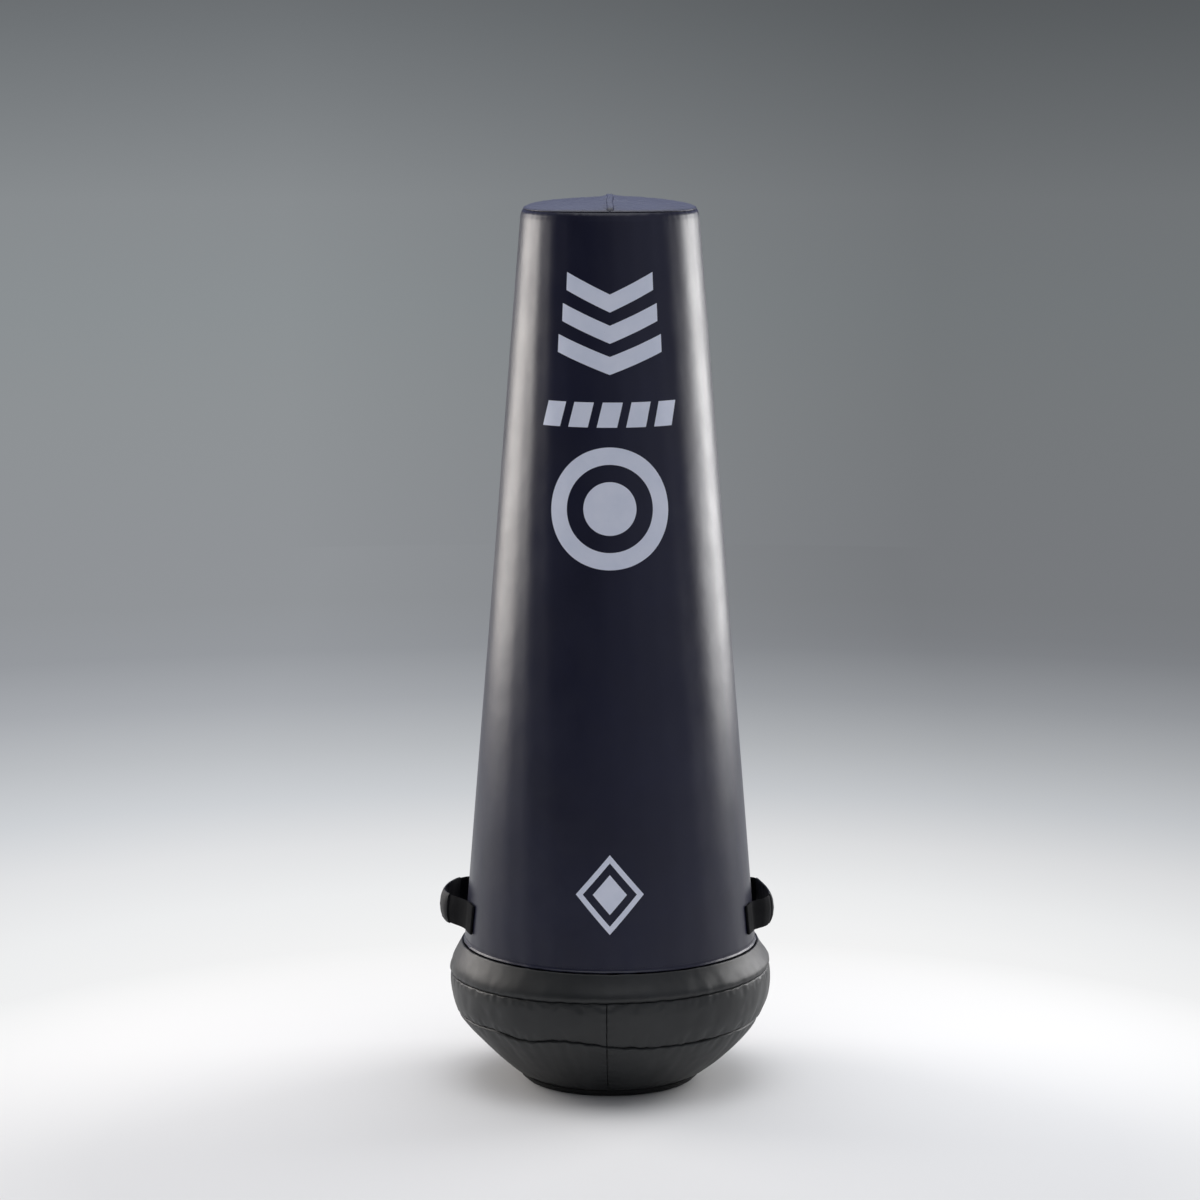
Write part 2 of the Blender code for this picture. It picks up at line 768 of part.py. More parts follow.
def make_slider():
    """The slider, a plate over and a plate under the chains joined by a neck, with a bail on top."""
    edge = slider_width / 2
    neck = slider_neck_width / 2
    flange_inner = chain_outer + seat_gap
    flange_end = tape_top + seat_gap
    base_top = chain_bottom - seat_gap
    right_side = [
        (neck, slider_under),
        (flange_inner, slider_under),
        (flange_inner, flange_end),
        (edge, flange_end),
        (edge, slider_top),
    ]
    lower_side = [(edge, slider_bottom), (edge, base_top), (neck, base_top)]
    half = lower_side + right_side
    outline = half + [(-x, y) for x, y in reversed(half)]
    middle = slider_start + slider_length / 2
    along = Matrix(((1, 0, 0, 0), (0, 0, -1, middle), (0, 1, 0, 0), (0, 0, 0, 1)))
    slider = plate("zip_slider", outline, slider_length, zip_place @ along, zip_metal)

    ring_radius = bail_bore_radius + bail_wall
    ring = corner((0, pull_axis_depth), ring_radius, 0, math.pi, small_steps // 2)
    sunk = slider_top - slider_plate_thickness * bail_sink_share
    arch = [(-ring_radius, sunk), (ring_radius, sunk)] + ring
    hole = corner((0, pull_axis_depth), bail_bore_radius, 0, math.tau, small_steps)[:-1]
    sideways = Matrix(((0, 0, 1, 0), (1, 0, 0, middle), (0, 1, 0, 0), (0, 0, 0, 1)))
    bail = plate("slider_bail", arch, bail_width, zip_place @ sideways, zip_metal, [hole])
    bag.objects.unlink(bail)
    cutters.objects.link(bail)
    boolean(slider, as_cutter(bail), "UNION")
    return middle


def make_pull(middle):
    """The pull, hanging down the cover from the bar in the bail, with its origin on that bar."""
    hinge = zip_place @ Matrix.Translation((0, middle, pull_axis_depth))
    pivot = bpy.data.objects.new("pull_pivot", None)
    bag.objects.link(pivot)
    pivot.matrix_world = hinge
    top = pull_bar_width / 2
    tip_radius = pull_end_width / 2
    tip = corner((0, tip_radius - pull_length), tip_radius, 0, -math.pi, pull_tip_steps)
    outline = [(-pull_top_width / 2, top), (pull_top_width / 2, top)] + tip
    window_edge = pull_window_width / 2
    window = [
        (-window_edge, -top),
        (window_edge, -top),
        (window_edge, -top - pull_window_length),
        (-window_edge, -top - pull_window_length),
    ]
    pull = plate("zip_pull", outline, pull_thickness, Matrix.Identity(4), zip_metal, [window])
    pull.parent = pivot


def handle_place(side):
    """Frame on the cone at a handle: X along it, Y out of the cone and Z up the cone."""
    height = hem_height + handle_lift
    bearing = handle_bearing if side > 0 else math.pi - handle_bearing
    outward = Vector((math.cos(bearing), math.sin(bearing), cone_slope)).normalized()
    along = Vector((math.sin(bearing), -math.cos(bearing), 0))
    up = along.cross(outward)
    place = Matrix((along, outward, up)).transposed().to_4x4()
    radius = cone_radius(height)
    place.translation = (radius * math.cos(bearing), radius * math.sin(bearing), height)
    return place


def cone_depth(place, along, up):
    """How far the cone lies out of a handle's frame at a place in it."""
    depth = 0.0
    for _ in range(depth_rounds):
        point = place @ Vector((along, depth, up))
        miss = math.hypot(point.x, point.y) - cone_radius(point.z)
        depth -= miss * math.cos(cone_lean)
    return depth


def chord_sag(chord, radius):
    """How far a circle rises over a chord of it."""
    return radius - math.sqrt(radius**2 - (chord / 2) ** 2)


# Sizes of the handles that follow from those above
tab_seat = seat_gap + chord_sag(tab_length / tab_steps, cone_foot_radius)
leg_start = handle_half_span - seat_gap - math.sin(web_lift_angle) * web_thickness / 2
grip_depth = handle_reach - grip_thickness / 2


def leg_seat_depth(place):
    """Depth of the middle of the webbing where a leg leaves the cone."""
    lowest = cone_depth(place, leg_start, -web_width / 2)
    highest = cone_depth(place, leg_start, web_width / 2)
    return max(lowest, highest) + seat_gap + web_thickness / 2


def make_tab(name, place, end):
    """The sewn end of the webbing, lying on the cone."""
    mesh = bpy.data.meshes.new(name)
    edit = bmesh.new()
    bmesh.ops.create_grid(edit, x_segments=tab_steps, y_segments=tab_rows, size=web_width / 2)
    for vertex in edit.verts:
        share = vertex.co.x / web_width + 1 / 2
        along = end * (handle_half_span + share * tab_length)
        up = vertex.co.y
        vertex.co = (along, cone_depth(place, along, up) + tab_seat, up)
    bmesh.ops.recalc_face_normals(edit, faces=edit.faces)
    if sum(face.normal.y for face in edit.faces) < 0:
        bmesh.ops.reverse_faces(edit, faces=edit.faces)
    edit.to_mesh(mesh)
    edit.free()
    tab = finish(bpy.data.objects.new(name, mesh), webbing)
    tab.matrix_world = place
    thicken(tab, web_thickness, 1)


def leg_outline(place, end):
    """Plan of a leg of webbing, from its tab out to the end of the grip."""
    start = Vector((leg_start, leg_seat_depth(place)))
    grip_end = Vector((grip_length / 2 + seat_gap, grip_depth))
    curl_length = (grip_end - start).length * web_curl_share
    rise = Vector((-math.cos(web_lift_angle), math.sin(web_lift_angle)))
    start_handle = start + rise * curl_length
    end_handle = grip_end + Vector((curl_length, 0))
    middle = []
    for i in range(web_leg_steps + 1):
        t = i / web_leg_steps
        s = 1 - t
        point = start * s**3 + start_handle * 3 * s * s * t
        point += end_handle * 3 * s * t * t + grip_end * t**3
        middle.append(point)
    one_side = offset_row(middle, web_thickness / 2)
    other_side = offset_row(middle, -web_thickness / 2)
    return [(end * p.x, p.y) for p in one_side + other_side[::-1]]


def make_handle(side_name, side):
    """One carry handle: two sewn tabs, two legs and the stiff grip, all of them separate."""
    place = handle_place(side)
    for end_name, end in (("front", side), ("rear", -side)):
        make_tab(f"handle_{side_name}_tab_{end_name}", place, end)
    pivot = bpy.data.objects.new(f"handle_{side_name}_pivot", None)
    bag.objects.link(pivot)
    depth = leg_seat_depth(place)
    pivot.matrix_world = place @ Matrix.Translation((0, depth, 0))
    to_frame = Matrix.Translation((0, -depth, 0))
    for end_name, end in (("front", side), ("rear", -side)):
        name = f"handle_{side_name}_leg_{end_name}"
        leg = plate(name, leg_outline(place, end), web_width, Matrix.Identity(4), webbing)
        leg.parent = pivot
        leg.matrix_basis = to_frame
    low = (-grip_length / 2, grip_depth - grip_thickness / 2, -grip_width / 2)
    high = (grip_length / 2, grip_depth + grip_thickness / 2, grip_width / 2)
    grip_name = f"handle_{side_name}_grip"
    grip = block(grip_name, low, high, Matrix.Identity(4), grip_vinyl, grip_rounding)
    grip.parent = pivot
    grip.matrix_basis = to_frame


make_base_cover()
make_foot()
make_base_foam()
make_ballast_bolts()
make_post(make_flange(make_ballast()))
make_body_foam()
make_cover()
make_top()
make_zip_tapes()
make_pull(make_slider())
make_handle("left", -1)
make_handle("right", 1)
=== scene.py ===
"""Looks of the free-standing tackling bag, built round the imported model.

Metres, +Z up, the printed front faces -Y. Angles round the bag are measured from
the front towards +X, so that the right side is at +90 degrees and the rear at 180.
"""

from math import asin, atan, atan2, copysign, cos, exp, hypot, pi, radians, sin, sqrt, tau

import bmesh
import bpy
import numpy as np
from mathutils import Matrix, Vector


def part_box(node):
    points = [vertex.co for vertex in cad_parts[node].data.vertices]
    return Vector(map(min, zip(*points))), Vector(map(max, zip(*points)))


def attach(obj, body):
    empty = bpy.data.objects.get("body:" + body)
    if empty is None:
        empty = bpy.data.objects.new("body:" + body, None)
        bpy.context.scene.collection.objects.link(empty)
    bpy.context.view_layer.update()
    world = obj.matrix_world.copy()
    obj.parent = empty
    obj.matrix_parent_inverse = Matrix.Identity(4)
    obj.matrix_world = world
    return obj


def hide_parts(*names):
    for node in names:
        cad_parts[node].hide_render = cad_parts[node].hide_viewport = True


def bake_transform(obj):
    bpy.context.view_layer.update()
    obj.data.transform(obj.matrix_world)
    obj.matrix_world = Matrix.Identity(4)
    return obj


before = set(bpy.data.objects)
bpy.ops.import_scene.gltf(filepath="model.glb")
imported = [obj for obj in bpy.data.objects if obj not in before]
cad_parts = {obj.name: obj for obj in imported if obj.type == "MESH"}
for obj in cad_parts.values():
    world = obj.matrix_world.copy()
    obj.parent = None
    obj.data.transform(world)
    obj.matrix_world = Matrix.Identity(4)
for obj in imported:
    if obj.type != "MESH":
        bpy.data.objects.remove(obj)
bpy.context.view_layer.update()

# Sizes of the model that the pieces here follow
rim_height = 1.524
cone_top_radius = 0.1508
cone_foot_radius = 0.2535
hem_height = 0.243
cone_slope = (cone_foot_radius - cone_top_radius) / (rim_height - hem_height)
cone_lean = atan(cone_slope)
crown_rise = 0.006
cover_thickness = 0.0015
lip_height = 0.2427
lip_radius = 0.2235
base_radius = 0.2795
shoulder_seam_height = 0.198
mid_seam_radius = 0.262
mid_seam_height = 0.115
foot_top_radius = 0.157
foot_seam_height = 0.0123
foot_radius = 0.1485
foot_thickness = 0.012
cover_facets = 48
flat_share = cos(pi / cover_facets)
seat_gap = 0.0003

# Rounded rim of the cover, from the middle of its arc, and the seam on it
rim_edge_radius = 0.012
rim_centre_radius = cone_top_radius - rim_edge_radius
rim_centre_height = rim_height - rim_edge_radius
rim_seam_radius = rim_centre_radius + rim_edge_radius * cos(radians(51))
rim_wave_height = 0.0024
base_skin_thickness = 0.0012

# Rear zip, in the frame of the rear facet
zip_lift = 0.055
zip_length = 0.8
zip_height = zip_length * cos(cone_lean)
zip_slot_half = 0.0072
zip_slot_margin = 0.008
zip_tape_edge = 0.0115
zip_tape_depth = 0.0023
zip_tape_thickness = 0.0008
tooth_pitch = 0.003

# Webbing handles, in the frame of each one on the cone
handle_lift = 0.0555
handle_bearing = radians(10.5)
handle_half_span = 0.1
tab_length = 0.0266
web_width = 0.0508
web_thickness = 0.0025
web_fold_radius = 0.0012
grip_width = 0.054
sleeve_half = 0.0535

sides = (("left", -1), ("right", 1))


def linked(name, data):
    """Put new data in the scene as an object."""
    obj = bpy.data.objects.new(name, data)
    bpy.context.scene.collection.objects.link(obj)
    return obj


# Camera and stage

camera_place = (0, -7.812, 2.167)
camera_drop = radians(9.62)


def make_camera():
    """The camera at the photograph's place, looking along +Y and a little down."""
    data = bpy.data.cameras.new("camera")
    data.sensor_width = 36
    data.lens = 137.76
    data.shift_x = -0.0082
    data.clip_end = 300
    camera = linked("camera", data)
    camera.location = camera_place
    camera.rotation_euler = (pi / 2 - camera_drop, 0, 0)
    bpy.context.scene.camera = camera


def srgb(*channels):
    """A colour given in sRGB, 0 to 255, as linear values. One number makes a grey."""
    out = []
    for channel in channels if len(channels) == 3 else channels * 3:
        value = channel / 255
        out.append(value / 12.92 if value <= 0.04045 else ((value + 0.055) / 1.055) ** 2.4)
    return out + [1.0]


class Nodes:
    """Short calls for building the node tree of a material or a world."""

    def __init__(self, owner):
        owner.use_nodes = True
        self.owner, self.tree = owner, owner.node_tree
        self.tree.nodes.clear()

    def add(self, kind, inputs=None, **settings):
        node = self.tree.nodes.new("ShaderNode" + kind)
        for name, value in settings.items():
            setattr(node, name, value)
        for name, value in (inputs or {}).items():
            socket = node.inputs[name]
            if isinstance(value, bpy.types.NodeSocket):
                self.tree.links.new(value, socket)
            else:
                socket.default_value = value
        return node

    def math(self, operation, a, b=0.0):
        return self.add("Math", {0: a, 1: b}, operation=operation).outputs[0]

    def axes(self, vector):
        return self.add("SeparateXYZ", {0: vector}).outputs

    def length(self, vector):
        return self.add("VectorMath", {0: vector}, operation="LENGTH").outputs["Value"]

    def ramp(self, value, low, high, *stops, smooth=True):
        """Colours as a value goes from low to high, by stops: a place and its sRGB channels."""
        node = self.add("ValToRGB", {"Fac": self.span(value, low, high)})
        ramp = node.color_ramp
        ramp.interpolation = "EASE" if smooth else "LINEAR"
        while len(ramp.elements) < len(stops):
            ramp.elements.new(0.5)
        for element, (place, *colour) in zip(ramp.elements, stops):
            element.position = place
            element.color = srgb(*colour)
        return node.outputs["Color"]

    def span(self, value, low, high, to_low=0.0, to_high=1.0):
        inputs = {"Value": value, "From Min": low, "From Max": high, "To Min": to_low, "To Max": to_high}
        return self.add("MapRange", inputs).outputs["Result"]

    def mix(self, fac, a, b, blend="MIX"):
        return self.add("Mix", {0: fac, 6: a, 7: b}, data_type="RGBA", blend_type=blend).outputs[2]

    def times(self, a, b):
        return self.mix(1.0, a, b, "MULTIPLY")

    def noise(self, vector, scale, detail=2.0, roughness=0.5):
        inputs = {"Vector": vector, "Scale": scale, "Detail": detail, "Roughness": roughness}
        return self.add("TexNoise", inputs).outputs["Fac"]

    def cells(self, vector, scale, feature="F1"):
        return self.add("TexVoronoi", {"Vector": vector, "Scale": scale}, feature=feature).outputs["Distance"]

    def bump(self, height, distance, strength=1.0, normal=None):
        inputs = {"Height": height, "Distance": distance, "Strength": strength}
        if normal is not None:
            inputs["Normal"] = normal
        return self.add("Bump", inputs).outputs["Normal"]

    def rays(self, *kinds):
        """1 for rays of the kinds named."""
        path = self.add("LightPath").outputs
        seen = path[f"Is {kinds[0]} Ray"]
        for kind in kinds[1:]:
            seen = self.math("MAXIMUM", seen, path[f"Is {kind} Ray"])
        return seen

    def light(self, kind, colour, strength=1.0):
        return self.add(kind, {"Color": colour, "Strength": strength}).outputs[0]

    def either(self, fac, a, b):
        return self.add("MixShader", {0: fac, 1: a, 2: b}).outputs[0]

    def principled(self, inputs):
        """Finish a material: constants go on the shader itself and patterns are linked to it."""
        shader = self.add("BsdfPrincipled", inputs)
        self.add("OutputMaterial", {"Surface": shader.outputs[0]})
        return self.owner


def side_shade(nodes, across, reach):
    """The background's fall in brightness from left to right, as a grey to multiply by."""
    return nodes.ramp(across, -reach, reach, (0.0, 255), (1.0, 212), smooth=False)


def make_world():
    """Soft light from all round, and a plain grey background that darkens upward."""
    world = bpy.data.worlds.new("studio")
    bpy.context.scene.world = world
    nodes = Nodes(world)
    x, y, z = nodes.axes(nodes.add("TexCoord").outputs["Generated"])
    shade = nodes.ramp(
        z, -0.156, -0.03,
        (0.0, 144, 147, 151), (0.25, 142, 146, 149), (0.42, 139, 144, 147), (0.6, 136, 140, 143),
        (0.76, 123, 127, 130), (0.9, 111, 115, 118), (1.0, 103, 106, 109),
        smooth=False,
    )
    shade = nodes.times(shade, side_shade(nodes, x, 0.07))
    mirrored = nodes.times(shade, nodes.ramp(y, -0.5, 0.3, (0.0, 130), (1.0, 250)))
    glow = nodes.math("MULTIPLY", nodes.span(x, -0.4, 0.6), nodes.span(y, -0.1, -0.45))
    mirrored = nodes.mix(glow, mirrored, srgb(160, 162, 172))
    over = nodes.math("MULTIPLY", nodes.span(z, 0.0, 0.15), nodes.span(y, 0.3, 0.8))
    mirrored = nodes.mix(over, mirrored, srgb(126, 131, 168))
    above = nodes.ramp(z, 0.0, 0.8, (0.0, 100, 102, 106), (1.0, 246, 248, 255))
    lit = nodes.either(nodes.rays("Glossy", "Transmission"),
                       nodes.light("Background", above, 0.62), nodes.light("Background", mirrored))
    surface = nodes.either(nodes.rays("Camera"), lit, nodes.light("Background", shade))
    nodes.add("OutputWorld", {"Surface": surface})


def make_floor():
    """A wide pale floor that fades into the background grey a few metres away, where it glows with painted
    light for camera, glossy and transmission rays, falling off with distance.
    """
    mesh = bpy.data.meshes.new("floor")
    edit = bmesh.new()
    bmesh.ops.create_circle(edit, cap_ends=True, segments=96, radius=6.0)
    edit.to_mesh(mesh)
    edit.free()
    floor = linked("floor", mesh)
    floor.location.z = -0.0002
    nodes = Nodes(bpy.data.materials.new("floor_paper"))
    place = nodes.add("NewGeometry").outputs["Position"]
    x, y, _ = nodes.axes(place)
    distance = nodes.length(place)
    # Painted light: the far floor glows, pale near the bag and falling to the background grey far off
    painted_far_glow = nodes.ramp(
        distance, 0.9, 6.0,
        (0.0, 244), (0.11, 237, 238, 239), (0.198, 226, 227, 229), (0.294, 206, 209, 213),
        (0.402, 187, 190, 194), (0.52, 167, 170, 175), (0.657, 150, 153, 158), (0.81, 145, 148, 152),
        (1.0, 144, 147, 151),
        smooth=False,
    )
    # Painted shade: the far glow darkens towards the right
    painted_far_glow = nodes.mix(nodes.span(distance, 1.2, 4.5), painted_far_glow, nodes.times(painted_far_glow, side_shade(nodes, x, 0.85)))
    # Painted shade: reflections of the floor are darker towards the front
    painted_front_shade = nodes.ramp(y, -3.0, -0.9, (0.0, 130), (1.0, 255), smooth=False)
    painted_far_glow = nodes.mix(nodes.rays("Glossy", "Transmission"), painted_far_glow, nodes.times(painted_far_glow, painted_front_shade))
    ahead = nodes.add("VectorMath", {0: place, 1: (0, 0.5, 0)}, operation="ADD").outputs[0]
    away = nodes.span(nodes.length(ahead), 0.85, 1.5)
    fade = nodes.math("MULTIPLY", nodes.rays("Camera", "Glossy", "Transmission"), away)
    paper = nodes.add("BsdfDiffuse", {"Color": srgb(216)}).outputs[0]
    surface = nodes.either(fade, paper, nodes.light("Emission", painted_far_glow))
    nodes.add("OutputMaterial", {"Surface": surface})
    mesh.materials.append(nodes.owner)


def make_lamp(name, place, aim, size, power, colour):
    """A soft box that the camera doesn't see."""
    data = bpy.data.lights.new(name, "AREA")
    data.shape = "RECTANGLE"
    data.size, data.size_y = size
    data.energy = power
    data.color = colour
    lamp = linked(name, data)
    lamp.location = place
    direction = Vector(aim) - Vector(place)
    lamp.rotation_euler = direction.to_track_quat("-Z", "Y").to_euler()
    lamp.visible_camera = False


make_camera()
make_world()
make_floor()
make_lamp("box_left", (-2.07, 1.0, 1.17), (0, 0, 1.17), (1.4, 1.3), 43, (1.0, 0.95, 0.9))
make_lamp("box_right", (1.97, 1.18, 1.14), (0, 0, 1.14), (1.55, 1.4), 54, (1.0, 0.99, 0.98))
make_lamp("box_top", (0, 0.2, 3.6), (0, 0.2, 0), (3.0, 4.4), 66, (0.97, 0.98, 1.0))
make_lamp("box_back", (0, 3.3, 3.1), (0, 0, 1.4), (2.6, 1.2), 8, (0.72, 0.8, 1.0))


# Materials


def new_finish(name, coordinates="Object"):
    """An empty node tree for a material, and where its patterns are laid."""
    nodes = Nodes(bpy.data.materials.new(name))
    return nodes, nodes.add("TexCoord").outputs[coordinates]


def darker(colour, share):
    """The colour at a share of its brightness."""
    return [channel * share for channel in colour[:3]] + [1.0]


def vinyl(name, dark, light, roughness, grain, dents=0.35):
    """Coated vinyl: a pebbled grain, faint cloudiness and softly uneven gloss."""
    nodes, where = new_finish(name)
    cloud = nodes.noise(where, 5.5, 4.0, 0.6)
    smear = nodes.noise(where, 14.0, 3.0, 0.55)
    fine = nodes.noise(where, grain * 2.3, 2.0)
    surface = nodes.math("ADD", nodes.cells(where, grain, "SMOOTH_F1"), nodes.math("MULTIPLY", fine, 0.5))
    dented = nodes.bump(nodes.noise(where, 17.0, 2.0, 0.5), 0.0022, dents)
    return nodes.principled({
        "IOR": 1.5,
        "Base Color": nodes.mix(nodes.span(cloud, 0.3, 0.7), dark, light),
        "Roughness": nodes.span(smear, 0.25, 0.75, roughness - 0.035, roughness + 0.045),
        "Normal": nodes.bump(surface, 0.00012, 0.5, dented),
    })


def woven(name, dark, light, rib_pitch, yarn_pitch, depth):
    """Woven nylon: ribs along the length and yarns across them, from the piece's own UVs in metres."""
    nodes, where = new_finish(name, "UV")
    along, across, _ = nodes.axes(where)
    ribs = nodes.math("DIVIDE", across, rib_pitch)
    ridge = nodes.math("SINE", nodes.math("MULTIPLY", nodes.math("FRACT", ribs), pi))
    shift = nodes.math("MULTIPLY", nodes.math("FLOOR", ribs), 0.5)
    yarn = nodes.math("FRACT", nodes.math("ADD", nodes.math("DIVIDE", along, yarn_pitch), shift))
    pick = nodes.math("SINE", nodes.math("MULTIPLY", yarn, pi))
    height = nodes.math("MULTIPLY", ridge, nodes.math("ADD", nodes.math("MULTIPLY", pick, 0.6), 0.4))
    fuzz = nodes.noise(where, 900.0, 2.0)
    # Painted shade: the colour is dark in the low grooves of the weave and light on its ridges, with a random
    # fuzz
    hollow_shade_and_mottle = nodes.math("MULTIPLY", height, nodes.span(fuzz, 0.2, 0.8, 0.6, 1.1))
    return nodes.principled({
        "Roughness": 0.85, "IOR": 1.4, "Specular IOR Level": 0.15,
        "Base Color": nodes.mix(hollow_shade_and_mottle, dark, light),
        "Normal": nodes.bump(height, depth, 0.9),
    })


def plain(name, colour, roughness, metallic=0.0, grain=300.0, depth=0.00004, spread=0.06):
    """A solid finish with a fine grain and slightly uneven gloss."""
    nodes, where = new_finish(name)
    blotch = nodes.span(nodes.noise(where, 38.0, 3.0, 0.6), 0.3, 0.7)
    smear = nodes.noise(where, 60.0, 3.0)
    return nodes.principled({
        "Metallic": metallic, "IOR": 1.5,
        "Base Color": nodes.mix(blotch, darker(colour, 0.82), colour),
        "Roughness": nodes.span(smear, 0.25, 0.75, roughness - spread, roughness + spread),
        "Normal": nodes.bump(nodes.noise(where, grain, 3.0), depth, 0.6),
    })


def foam_finish(name, colour):
    """Open-cell foam."""
    nodes, where = new_finish(name)
    pores = nodes.cells(where, 420.0)
    cloud = nodes.span(nodes.noise(where, 9.0, 3.0), 0.2, 0.8, 0.75, 1.0)
    # Painted shade: the pits of the pores are coloured darker, under a random cloudiness
    hollow_shade_and_mottle = nodes.math("MULTIPLY", nodes.span(pores, 0.0, 0.6), cloud)
    return nodes.principled({
        "Roughness": 0.95, "IOR": 1.4,
        "Base Color": nodes.mix(hollow_shade_and_mottle, darker(colour, 0.72), colour),
        "Normal": nodes.bump(pores, 0.0006, 0.8),
    })


def print_ink():
    """Screen-printed ink: pale and flat, with a few worn specks where it shows the vinyl."""
    nodes, where = new_finish("print_ink")
    cloud = nodes.noise(where, 22.0, 4.0, 0.6)
    tint = nodes.mix(nodes.span(cloud, 0.3, 0.7), srgb(209, 215, 232), srgb(219, 223, 238))
    specks = nodes.math("GREATER_THAN", nodes.noise(where, 160.0, 5.0, 0.7), 0.735)
    return nodes.principled({
        "IOR": 1.48, "Roughness": 0.42,
        "Base Color": nodes.mix(specks, tint, srgb(92, 96, 116)),
        "Normal": nodes.bump(nodes.cells(where, 900.0, "SMOOTH_F1"), 0.0001, 0.35),
    })


navy_vinyl = vinyl("navy_vinyl", srgb(17, 18, 40), srgb(22, 24, 48), 0.37, 900.0)
black_vinyl = vinyl("black_vinyl", srgb(18, 20, 22), srgb(32, 34, 35), 0.5, 800.0, 0.9)
grip_vinyl = vinyl("grip_vinyl", srgb(18, 19, 22), srgb(27, 29, 33), 0.68, 1100.0, 0.4)
webbing = woven("webbing", srgb(6, 6, 8), srgb(26, 27, 30), 0.0021, 0.0016, 0.00045)
tape_cloth = woven("tape_cloth", srgb(9, 9, 16), srgb(30, 30, 44), 0.0008, 0.0007, 0.0002)
navy_thread = plain("navy_thread", srgb(40, 41, 62), 0.6, 0, 2500.0, 0.0001)
black_thread = plain("black_thread", srgb(38, 39, 42), 0.6, 0, 2500.0, 0.0001)
rubber = plain("foot_rubber", srgb(12, 12, 13), 0.8, 0, 500.0, 0.0002)
zip_plastic = plain("zip_plastic", srgb(20, 20, 22), 0.42)
zip_metal = plain("zip_metal", srgb(168, 168, 170), 0.3, 1.0, 700.0, 0.00002)
ballast_steel = plain("ballast_steel", srgb(96, 98, 102), 0.5, 0.85, 260.0, 0.0002, 0.12)
fastener_steel = plain("fastener_steel", srgb(170, 172, 174), 0.34, 1.0, 700.0, 0.00003)
post_plastic = plain("post_plastic", srgb(198, 200, 200), 0.46, 0.0, 200.0, 0.00006)
foam = foam_finish("foam", srgb(222, 216, 198))
core_foam = foam_finish("core_foam", srgb(76, 78, 84))
ink = print_ink()


# Mesh helpers


def add_mesh(name, points, faces, material):
    """A smooth-shaded mesh object from points and faces."""
    mesh = bpy.data.meshes.new(name)
    mesh.from_pydata([tuple(p) for p in points], [], faces)
    mesh.materials.append(material)
    mesh.shade_smooth()
    return linked(name, mesh)


def grid_faces(rows, columns, around=False, flip=False):
    """Quads of a grid of points, joined round its columns if asked."""
    faces = []
    for i in range(rows - 1):
        for j in range(columns if around else columns - 1):
            a, b = i * columns + j, i * columns + (j + 1) % columns
            quad = (a, b, b + columns, a + columns)
            faces.append(quad[::-1] if flip else quad)
    return faces


def add_tube(name, points, rows, columns, material, flip=False):
    """A closed mesh from rings of points, capped at both ends."""
    faces = grid_faces(rows, columns, True)
    faces += [tuple(range(columns))[::-1], tuple((rows - 1) * columns + k for k in range(columns))]
    if flip:
        faces = [face[::-1] for face in faces]
    return turn_outward(add_mesh(name, points, faces, material))


def add_uvs(obj, uvs):
    """Lay a texture on a mesh, with a place for each of its points."""
    layer = obj.data.uv_layers.new(name="cloth")
    for loop in obj.data.loops:
        layer.data[loop.index].uv = uvs[loop.vertex_index]


def edited(obj, change):
    """Change an object's mesh as a bmesh."""
    edit = bmesh.new()
    edit.from_mesh(obj.data)
    change(edit)
    edit.to_mesh(obj.data)
    edit.free()
    return obj


def turn_outward(obj):
    """Point all the faces of a closed mesh outward."""
    return edited(obj, lambda edit: bmesh.ops.recalc_face_normals(edit, faces=edit.faces))


def soft_angle(obj, degrees):
    """Keep edges sharper than this crisp."""
    def sharpen(edit):
        for edge in edit.edges:
            if len(edge.link_faces) == 2 and edge.calc_face_angle() > radians(degrees):
                edge.smooth = False
    return edited(obj, sharpen)


def applied(obj):
    """Put the result of an object's modifiers in its mesh."""
    evaluated = obj.evaluated_get(bpy.context.evaluated_depsgraph_get())
    mesh = bpy.data.meshes.new_from_object(evaluated)
    obj.modifiers.clear()
    obj.data = mesh
    return obj


def thicken(obj, thickness):
    """Give a sheet its thickness, behind the face that shows."""
    solidify = obj.modifiers.new("thickness", "SOLIDIFY")
    solidify.thickness = thickness
    solidify.offset = -1
    return applied(obj)


def place_piece(obj, slot, *nodes, body="bag", pad=None):
    """Ride a piece on its body and hide the nodes it stands for. Its slot and how full it is padded are not
    used.
    """
    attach(obj, body)
    if nodes:
        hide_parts(*nodes)


def waves(seed, count, low, high):
    """A smooth random function of the angle that closes on itself, mostly within -1 and 1."""
    rng = np.random.default_rng(seed)
    numbers = rng.integers(low, high + 1, count)
    phases = rng.uniform(0, tau, count)
    weights = rng.uniform(0.4, 1.0, count)

    def value(angle, height=0.0):
        total = sum(w * np.cos(n * angle + p + height) for n, p, w in zip(numbers, phases, weights))
        return total / sqrt(2 * (weights**2).sum())

    return value


def patchy(angle, seed):
    """Where puckers gather along a seam, from 0.25 to 1."""
    return 0.625 + 0.375 * np.tanh(3 * waves(seed, 6, 2, 9)(angle))


def bell(distance, reach):
    """1 at no distance, and a smooth fall to nothing past the reach."""
    return np.exp(-((distance / reach) ** 2))


def pinch(distance, radius):
    """How far a stuffed skin drops beside a seam, rounding over within the radius."""
    left = np.clip(radius - distance, 0, radius)
    return radius - np.sqrt(np.maximum(radius**2 - left**2, 0))


def round_axis(radius, angle, height):
    """Points at distances from the bag's axis and angles round it."""
    radius = radius + 0 * angle
    return np.stack([radius * np.sin(angle), -radius * np.cos(angle), height + 0 * radius], axis=-1)


# Cone cover

